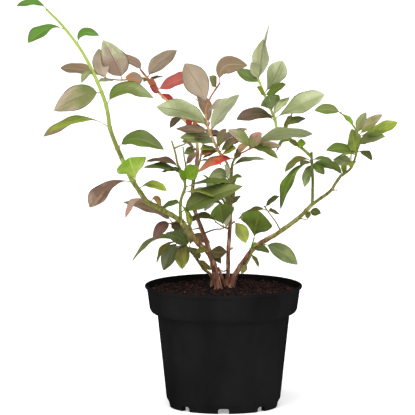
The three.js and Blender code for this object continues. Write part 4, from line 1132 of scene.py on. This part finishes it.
def face_seen(along, seen_width, width):
    """The way a blade's upper face looks, so that a viewer in front sees it seen_width wide."""
    square = square_to(TO_VIEWER, along)
    edge = along.cross(square)
    if edge.z < 0:
        edge.negate()
    sine = clamped(seen_width / width, -1)
    return edge * math.sqrt(1 - sine * sine) + square * sine


def nearest_root(samples, across, height):
    """The pair of samples that lies nearest to a place measured in front of it."""
    return min(samples, key=lambda pair: (surveyed((across, pair[0].y, height)) - pair[0]).length)


def placed_leaf(row, samples, random):
    """A leaf from its row in SHOOTS, with its root at one of the samples."""
    root_across, root_height, across, height, away, seen_width, *bend = row
    coarse, fine = nearest_root(samples, root_across, root_height)
    tip = surveyed((across, coarse.y + away, height))
    chord = tip - coarse
    length = chord.length
    own_width = LEAF_WIDTH * length * within(LEAF_WIDTH_RANGE, random)
    width = max(own_width, abs(seen_width) * LEAF_WIDTH_SPARE)
    fold = LEAF_FOLD * within(LEAF_FOLD_RANGE, random)
    twist = within(LEAF_TWIST_RANGE, random)
    face = face_seen(chord.normalized(), seen_width, width)
    arch = bend[0] if bend else LEAF_ARCH * length
    skew = bend[1] if len(bend) > 1 else BLADE_SKEW
    return Leaf(fine, tip, width, face, arch, skew, fold, twist)


def ruled_leaf(coarse, fine, k, count, size, random):
    """Leaf number k of count by the rule: turned round its stem by the golden angle and opened from it."""
    share = mix(*RULE_SHARES, (k + 0.5) / count)
    tangent = coarse.tangent(share)
    radial = square_to(UP, tangent)
    radial.rotate(Quaternion(tangent, k * GOLDEN_ANGLE + within(RULE_TURN_RANGE, random)))
    along = (tangent * math.cos(RULE_OPENING) + radial * math.sin(RULE_OPENING)).normalized()
    length = size * within(RULE_LENGTH_RANGE, random)
    tip = coarse.at(share) + along * length
    twist = within(RULE_TWIST_RANGE, random)
    width, arch = LEAF_WIDTH * length, LEAF_ARCH * length
    return Leaf(fine.at(share), tip, width, square_to(UP, along), arch, BLADE_SKEW, LEAF_FOLD, twist)


def side_tones(tints, rib):
    """The colours of one side of a blade, from root to tip, and that of its midrib."""
    colours = [TINTS[tint] for tint in tints]
    if len(colours) == 1:
        colours.append(shaded(colours[0], *TIP_TONE))
    places = [(len(colours) - 1) * k / (SHADES - 1) for k in range(SHADES)]
    return [colour_along(colours, place) for place in places], shaded(colours[0], *rib)


def leaf_tones(tints, under_seen):
    """The tones of the upper side and the underside, when tints are those of the side that is seen."""
    other = [OTHER_SIDE[tint] for tint in tints]
    upper, under = (other, tints) if under_seen else (tints, other)
    return side_tones(upper, UPPER_RIB), side_tones(under, UNDER_RIB)


def blade_place(leaf, row, u, phase):
    """The place on a blade's upper skin at a share of its length and of its half width, and its normal."""
    blade = row + VEIN_SLANT * abs(u) * row * (1 - row)
    centre, normal, side = leaf.frame(mix(PETIOLE_END, 1, blade))
    half = max(PETIOLE_RADIUS, leaf.width * blade_half_width(blade, leaf.skew))
    swing = math.sin(phase + WAVE_RUN * blade + WAVE_SLANT * u) * math.sin(math.pi * blade)
    wave = MARGIN_WAVE * swing * u * u
    vein = VEIN_RELIEF * (abs(math.sin(math.pi * VEINS * row)) - 0.5)
    quilt = vein * math.sin(math.pi * abs(u)) ** VEIN_CURVE * min(1, half / VEIN_FULL_HALF)
    lift = half * (leaf.fold * abs(u) ** FOLD_CURVE + wave) + quilt
    return centre + side * (half * u) + normal * lift, normal


def blade_skins(piece, leaf, phase):
    """Rows of points on a blade's upper and under skin, which meet at its margin and its tip."""
    skins = [], []
    for r in range(BLADE_ROWS):
        upper, under = [], []
        for u in BLADE_COLUMNS:
            place, normal = blade_place(leaf, r / BLADE_ROWS, u, phase)
            upper.append(piece.point(place))
            if abs(u) == 1:
                under.append(upper[-1])
            else:
                rib = RIB_RELIEF if abs(u) < RIB_HALF else 0
                under.append(piece.point(place - normal * (BLADE_THICKNESS * (1 - u * u) + rib)))
        skins[0].append(upper)
        skins[1].append(under)
    tip = [piece.point(leaf.tip)] * len(BLADE_COLUMNS)
    skins[0].append(tip)
    skins[1].append(tip)
    return skins


def blade_shade(row, u, number):
    """The number of the shade at a place on a blade."""
    patch = noise.noise(Vector((row * PATCHES_ALONG, u * PATCHES_ACROSS, number * PATCHES_APART)))
    # Painted shade: one half of the blade moves a step on in tone and the other a step back, for light on
    # the fold.
    half = FOLD_PAINTED_SHADE if u > 0 else -FOLD_PAINTED_SHADE
    depth = SHADE_ALONG * row + SHADE_ACROSS * abs(u) + SHADE_START + SHADE_PATCHES * patch + half
    return round(clamped(depth) * (SHADES - 1))


def add_blade(piece, leaf, tones, number):
    """A blade of two skins, with a midrib, slanting veins and a slightly waved edge."""
    skins = blade_skins(piece, leaf, number * WAVE_APART)
    for r in range(BLADE_ROWS):
        for c in range(len(BLADE_COLUMNS) - 1):
            u = (BLADE_COLUMNS[c] + BLADE_COLUMNS[c + 1]) / 2
            shade = blade_shade((r + 0.5) / BLADE_ROWS, u, number)
            for rows, (shades, rib), (a, b) in zip(skins, tones, ((c, c + 1), (c + 1, c))):
                colour = rib if abs(u) < RIB_HALF else shades[shade]
                piece.face((rows[r][a], rows[r][b], rows[r + 1][b], rows[r + 1][a]), ("leaf", colour))
    upper, under = skins
    _, upper_rib = tones[0]
    piece.face(reversed(upper[0] + under[0][-2:0:-1]), ("leaf", upper_rib))


def add_petiole(piece, leaf, colour):
    """A leaf's stalk, which reaches a little way under the blade."""
    places = [leaf.frame(PETIOLE_END * k / (PETIOLE_STEPS - 1))[0] for k in range(PETIOLE_STEPS + 1)]

    def size(share, angle):
        return PETIOLE_RADIUS * mix(*PETIOLE_TAPER, share)

    add_tube(piece, Line(places), PETIOLE_STEPS, PETIOLE_SIDES, size, lambda *_: ("stem", colour))


def root_places(coarse, fine, count):
    """Pairs of the source's places for a leaf's root and the same ones on the fine stem."""
    first = round(count * BARE_SHARE)
    return [(coarse.at(k / count), fine.at(k / count)) for k in range(first, count + 1)]


class Growth:
    """The lines of a shoot's stem and twigs, and its leaves with their tones."""

    def __init__(self, number, shoot):
        stem = smooth_line([surveyed(place) for place in shoot["path"]])
        coarse = coarse_line(stem)
        self.lines = [stem]
        self.samples = root_places(coarse, stem, STEM_SAMPLES)
        for places in shoot.get("twigs", []):
            self.add_twig(places)
        random = seeded(number + 1)
        self.leaves = []
        for tints, *row in shoot["leaves"]:
            leaf = placed_leaf(row, self.samples, random)
            under_seen = row[5] < 0
            self.leaves.append((leaf, leaf_tones(tints.split(), under_seen)))
        self.add_ruled_leaves(shoot, coarse, random, seeded(CHANCE_SEED + number))

    def add_twig(self, places):
        across, _, height = places[0]
        start, _ = nearest_root(self.samples, across, height)
        twig = smooth_line([start, *[surveyed(place) for place in places[1:]]])
        self.samples += root_places(coarse_line(twig), twig, TWIG_SAMPLES)
        self.lines.append(twig)

    def add_ruled_leaves(self, shoot, coarse, random, chance):
        count, size = shoot.get("rule", (0, 0))
        palette = RULE_TINTS[shoot["family"]]
        for k in range(count):
            leaf = ruled_leaf(coarse, self.lines[0], k, count, size, random)
            tint = palette[int(chance() * len(palette))]
            if k not in shoot.get("bare", ()):
                self.leaves.append((leaf, leaf_tones([tint], tint in UNDERSIDES)))

    def joints(self, line):
        """The shares of a line at which leaves stand on it."""
        roots = [leaf.root for leaf, _ in self.leaves]
        return [line.nearest_share(root) for root in roots if line.distance(root) < NEAR]

    def growing_way(self, root):
        """The direction in which the stem or twig under a leaf's root grows."""
        line = min(self.lines, key=lambda line: line.distance(root))
        return line.tangent(line.nearest_share(root))


def make_shoot(number, shoot):
    """One shoot: its stem, twigs and buds in one piece, and its leaves in another."""
    growth = Growth(number, shoot)
    family = shoot["family"]
    tints = STEM_TINTS[shoot["stem"]]
    end = TINTS[tints[-1]]
    petiole = shaded(end, TINTS[PETIOLE_TINTS[family]], PETIOLE_SHARE)
    wood = Piece()
    for n, line in enumerate(growth.lines):
        radius = shoot["radius"] if n == 0 else TWIG_RADIUS
        add_twig(wood, line, radius, tints, growth.joints(line))
        add_bud(wood, line.at(BUD_PLACE), line.tangent(1), end)
    foliage = Piece()
    for k, (leaf, tones) in enumerate(growth.leaves):
        add_blade(foliage, leaf, tones, number * SEEDS_PER_SHOOT + k)
        add_petiole(wood, leaf, petiole)
        way = growth.growing_way(leaf.root) + leaf.chord.normalized()
        add_bud(wood, leaf.root, way.normalized(), petiole, BUD_SCALE)
    node = "leaves_" + shoot["name"]
    wood.made("twigs_" + shoot["name"], [node], "bark")
    foliage.made("foliage_" + shoot["name"], [node], "leaf_" + family)


# The pot's profile: (radius, height, how much the corner is rounded).
POT_PROFILE = [
    (0, 0, 0),
    (PAD_RADIUS, 0, 0.5),
    (PAD_RADIUS + EDGE, FLOOR_UNDERSIDE, 0.6),
    (FOOT_INNER_RADIUS, FLOOR_UNDERSIDE, 0.8),
    (FOOT_INNER_RADIUS, 0, 0.6),
    (FOOT_RADIUS, 0, 1),
    (FOOT_TOP_RADIUS, NOTCH_HEIGHT, 1.2),
    (FOOT_TOP_RADIUS + STEP_DEPTH, NOTCH_HEIGHT + STEP_HEIGHT, 0.8),
    (BODY_FOOT_RADIUS, BODY_FOOT, 3),
    (BODY_TOP_RADIUS, BODY_TOP, 1.2),
    (COLLAR_FOOT_RADIUS - SHOULDER, BODY_TOP + SHOULDER / 2, 2.5),
    (COLLAR_FOOT_RADIUS, COLLAR_FOOT + COLLAR_FOOT_SLANT, 2.5),
    (COLLAR_TOP_RADIUS, RIM_TOP - LIP_HEIGHT - EDGE, 1.2),
    (RIM_RADIUS, RIM_TOP - LIP_HEIGHT + LIP_SLANT, 1.1),
    (RIM_RADIUS, RIM_TOP, 1.5),
    (COLLAR_TOP_RADIUS - WALL, RIM_TOP, 1),
    (COLLAR_FOOT_RADIUS - WALL, COLLAR_FOOT + WALL, 1.5),
    (BODY_TOP_RADIUS - WALL, BODY_TOP + SHOULDER, 1),
    (BODY_FOOT_RADIUS - WALL, BODY_FOOT, 1.5),
    (BODY_FOOT_RADIUS - WALL - FLOOR_CORNER, FLOOR_TOP, 1),
    (0, FLOOR_TOP, 0),
]


def rounded_corner(before, corner, after, radius):
    """Points of a rounded corner in a profile of (radius, height)."""
    back, ahead = before - corner, after - corner
    start = corner + back.normalized() * min(radius, back.length * CORNER_REACH)
    end = corner + ahead.normalized() * min(radius, ahead.length * CORNER_REACH)
    points = []
    for k in range(CORNER_STEPS + 1):
        t = k / CORNER_STEPS
        points.append(start * (1 - t) ** 2 + corner * (2 * t * (1 - t)) + end * t**2)
    return points


def rounded(profile):
    """The points of a profile whose inner corners are rounded."""
    corners = [Vector((radius, height)) for radius, height, _ in profile]
    points = [corners[0]]
    for k in range(1, len(profile) - 1):
        points += rounded_corner(*corners[k - 1 : k + 2], profile[k][2])
    return [*points, corners[-1]]


def level_ring(piece, sides, radius, height_at):
    """Points round the pot's axis. height_at gives their height at (x, y)."""
    numbers = []
    for angle in angles_round(sides):
        x, y = radius * math.cos(angle), radius * math.sin(angle)
        numbers.append(piece.point(Vector((x, y, height_at(x, y)))))
    return numbers


def join_rings(piece, rings, look):
    for near, far in zip(rings, rings[1:]):
        piece.band(near, far, lambda _: look)


def turned(profile):
    """A piece turned about Z from a profile that starts and ends on the axis."""
    piece = Piece()
    rings = []
    for radius, height in profile:
        ring = level_ring(piece, POT_SIDES if radius else 1, radius, lambda x, y: height)
        rings.append(ring if radius else ring * POT_SIDES)
    join_rings(piece, rings, POT_LOOK)
    return piece


def prism(outline, depth):
    """The mesh of a straight bar whose cross-section is an outline in X and Z, and which runs along -Y."""
    piece = Piece()
    near, far = [[piece.point(Vector((x, y, z))) for x, z in outline] for y in (0, -depth)]
    piece.face(reversed(near), POT_LOOK)
    join_rings(piece, [near, far], POT_LOOK)
    piece.face(far, POT_LOOK)
    return piece.mesh("cutter")


def cut(target, bar, place, turn):
    """Takes a bar out of target, once it is turned and put in its place."""
    cutter = bpy.data.objects.new("cutter", bar)
    cutter.location = place * MM
    cutter.rotation_euler = turn
    bpy.context.scene.collection.objects.link(cutter)
    modifier = target.modifiers.new("cut", "BOOLEAN")
    modifier.operation = "DIFFERENCE"
    modifier.object = cutter
    modifier.solver = "EXACT"
    depsgraph = bpy.context.evaluated_depsgraph_get()
    mesh = bpy.data.meshes.new_from_object(target.evaluated_get(depsgraph))
    target.modifiers.clear()
    target.data = mesh
    bpy.data.objects.remove(cutter)


def cut_notches(pot):
    """The gaps in the foot that let water out, with chamfered sides."""
    half = NOTCH_WIDTH / 2
    shoulder = NOTCH_HEIGHT - NOTCH_CHAMFER
    right = [(half, -OVERSHOOT), (half, shoulder), (half - NOTCH_CHAMFER, NOTCH_HEIGHT)]
    left = [(NOTCH_CHAMFER - half, NOTCH_HEIGHT), (-half, shoulder), (-half, -OVERSHOOT)]
    bar = prism(right + left, NOTCH_OUTER_RADIUS - NOTCH_INNER_RADIUS)
    for angle in angles_round(NOTCHES):
        place = Vector((math.sin(angle), -math.cos(angle), 0)) * NOTCH_INNER_RADIUS
        cut(pot, bar, place, (0, 0, angle))


def cut_drains(pot):
    """The round holes in the floor."""
    hole = [(DRAIN_RADIUS * math.cos(a), DRAIN_RADIUS * math.sin(a)) for a in angles_round(DRAIN_SIDES)]
    bar = prism(hole, FLOOR_TOP - FLOOR_UNDERSIDE + 2 * OVERSHOOT)
    for angle in angles_round(DRAINS, 0.5):
        place = Vector((math.sin(angle), -math.cos(angle), 0)) * DRAIN_RING
        place.z = FLOOR_UNDERSIDE - OVERSHOOT
        cut(pot, bar, place, (-math.pi / 2, 0, 0))


def make_pot():
    pot = turned(rounded(POT_PROFILE)).made("pot_shell", ["pot"], "pot")
    cut_notches(pot)
    cut_drains(pot)
    pot.data.set_sharp_from_angle(angle=SHARP_ANGLE)


def collar_inside(height):
    """The radius of the collar's inner wall at a height."""
    share = (height - COLLAR_FOOT - WALL) / (RIM_TOP - EDGE - COLLAR_FOOT - WALL)
    return mix(COLLAR_FOOT_RADIUS, COLLAR_TOP_RADIUS, share) - WALL


def bump_at(x, y, height, scale, place):
    return height * noise.noise(Vector((x * scale, y * scale, place)))


def soil_height(x, y):
    """The height of the soil: level round the stems, lower at the wall, with a mound, lumps and crumbs."""
    radius = math.hypot(x, y)
    edge = collar_inside(SOIL_EDGE)
    fall = (SOIL_TOP - SOIL_EDGE) * max(0, (radius - SOIL_LEVEL_RADIUS) / (edge - SOIL_LEVEL_RADIUS))
    off_mound = (x - MOUND_PLACE[0]) ** 2 + (y - MOUND_PLACE[1]) ** 2
    mound = MOUND_HEIGHT * math.exp(-off_mound / MOUND_SPREAD)
    uneven = (mound + bump_at(x, y, *LUMPS)) * min(1, radius / CALM_RADIUS)
    return SOIL_TOP - fall + uneven + bump_at(x, y, *COARSE_CRUMBS) + bump_at(x, y, *FINE_CRUMBS)


def make_soil():
    """The crumbly top of the soil, and its sides and base inside the pot."""
    piece = Piece()
    edge = collar_inside(SOIL_EDGE) - GAP
    centre = piece.point(Vector((0, 0, soil_height(0, 0))))
    radii = [edge * k / SOIL_RINGS for k in range(1, SOIL_RINGS + 1)]
    rings = [level_ring(piece, SOIL_SIDES, radius, soil_height) for radius in radii]
    for s in range(SOIL_SIDES):
        piece.face((centre, rings[0][s], rings[0][(s + 1) % SOIL_SIDES]), SOIL_LOOK)
    clear = WALL + GAP
    sides = [
        (COLLAR_FOOT_RADIUS - clear, COLLAR_FOOT + WALL + GAP),
        (BODY_TOP_RADIUS - clear, BODY_TOP + SHOULDER + GAP),
        (BODY_FOOT_RADIUS - clear, BODY_FOOT + GAP),
        (BODY_FOOT_RADIUS - clear - FLOOR_CORNER, FLOOR_TOP + GAP),
    ]
    for radius, height in sides:
        rings.append(level_ring(piece, SOIL_SIDES, radius, lambda x, y: height))
    join_rings(piece, rings, SOIL_LOOK)
    piece.face(reversed(rings[-1]), SOIL_LOOK)
    piece.made("potting_soil", ["soil"], "soil")


def crumb_shape():
    """The corners and faces of a small round lump."""
    mesh = bmesh.new()
    bmesh.ops.create_icosphere(mesh, subdivisions=1, radius=1)
    corners = [vertex.co.copy() for vertex in mesh.verts]
    faces = [tuple(vertex.index for vertex in face.verts) for face in mesh.faces]
    mesh.free()
    return corners, faces


def add_crumb(piece, corners, faces, random):
    """One crumb somewhere on the soil."""
    radius = (collar_inside(SOIL_EDGE) - CRUMB_EDGE_GAP) * math.sqrt(random())
    angle = 2 * math.pi * random()
    x, y = radius * math.cos(angle), radius * math.sin(angle)
    size = mix(*CRUMB_RADIUS, random() ** CRUMB_RARITY)
    centre = Vector((x, y, soil_height(x, y) + CRUMB_LIFT * size))
    turn = Quaternion((random() - 0.5, random() - 0.5, random() - 0.5), CRUMB_TURN * random())
    stretch = Vector((within(CRUMB_LENGTH, random), CRUMB_WIDTH, within(CRUMB_HEIGHT, random)))
    numbers = []
    for corner in corners:
        reach = size * within(CRUMB_UNEVENNESS, random)
        numbers.append(piece.point(centre + turn @ (corner * stretch * reach)))
    for face in faces:
        piece.face([numbers[k] for k in face], SOIL_LOOK)


def make_crumbs():
    """Loose crumbs of peat and bark that lie on the soil."""
    random = seeded(CRUMB_SEED)
    corners, faces = crumb_shape()
    piece = Piece()
    for _ in range(CRUMBS):
        add_crumb(piece, corners, faces, random)
    piece.made("soil_crumbs", ["soil"], "soil")


def make_floor():
    """A plain pale floor, which isn't part of the object."""
    bpy.ops.mesh.primitive_plane_add(size=FLOOR_SIZE)
    floor = bpy.context.object
    floor.name = "floor"
    material = new_material("pale_floor")
    set_shader(material, {"Base Color": WHITE, "Roughness": 1, "Specular IOR Level": 0})
    set_shader(material, {"Emission Color": WHITE, "Emission Strength": FLOOR_GLOW})
    floor.data.materials.append(material)


def make_light():
    """Soft light all round, and far suns that stand in front."""
    world = bpy.data.worlds.new("studio")
    bpy.context.scene.world = world
    world.use_nodes = True
    background = world.node_tree.nodes["Background"]
    set_inputs(world.node_tree, background, {"Color": WHITE, "Strength": WORLD_STRENGTH})
    for name, (place, strength, spread) in SUNS.items():
        data = bpy.data.lights.new(name, "SUN")
        data.energy = strength
        data.angle = math.radians(spread)
        light = bpy.data.objects.new(name, data)
        light.rotation_euler = Vector(place).to_track_quat("Z", "Y").to_euler()
        bpy.context.scene.collection.objects.link(light)
    bpy.context.scene.view_settings.view_transform = "Standard"


def make_camera():
    data = bpy.data.cameras.new("camera")
    data.sensor_width = SENSOR_WIDTH
    data.lens = SENSOR_WIDTH * SIGHT_DISTANCE / VIEW_WIDTH
    camera = bpy.data.objects.new("camera", data)
    target = Vector((SIGHT_ACROSS, 0, SIGHT_HEIGHT / math.cos(SIGHT_TILT))) * MM
    camera.location = target + TO_VIEWER * SIGHT_DISTANCE * MM
    camera.rotation_euler = (-TO_VIEWER).to_track_quat("-Z", "Y").to_euler()
    bpy.context.scene.collection.objects.link(camera)
    bpy.context.scene.camera = camera


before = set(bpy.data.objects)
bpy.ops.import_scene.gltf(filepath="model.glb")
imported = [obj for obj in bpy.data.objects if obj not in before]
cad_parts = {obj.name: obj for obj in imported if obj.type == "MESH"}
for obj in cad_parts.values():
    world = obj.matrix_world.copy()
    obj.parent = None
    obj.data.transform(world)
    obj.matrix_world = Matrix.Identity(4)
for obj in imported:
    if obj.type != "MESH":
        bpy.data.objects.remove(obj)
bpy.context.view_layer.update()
make_camera()
make_floor()
make_light()
make_pot()
make_soil()
make_crumbs()
for limb_number, limb_row in enumerate(LIMBS):
    make_limb(limb_number, limb_row)
make_dead_twigs()
for shoot_number, shoot_row in enumerate(SHOOTS):
    make_shoot(shoot_number, shoot_row)
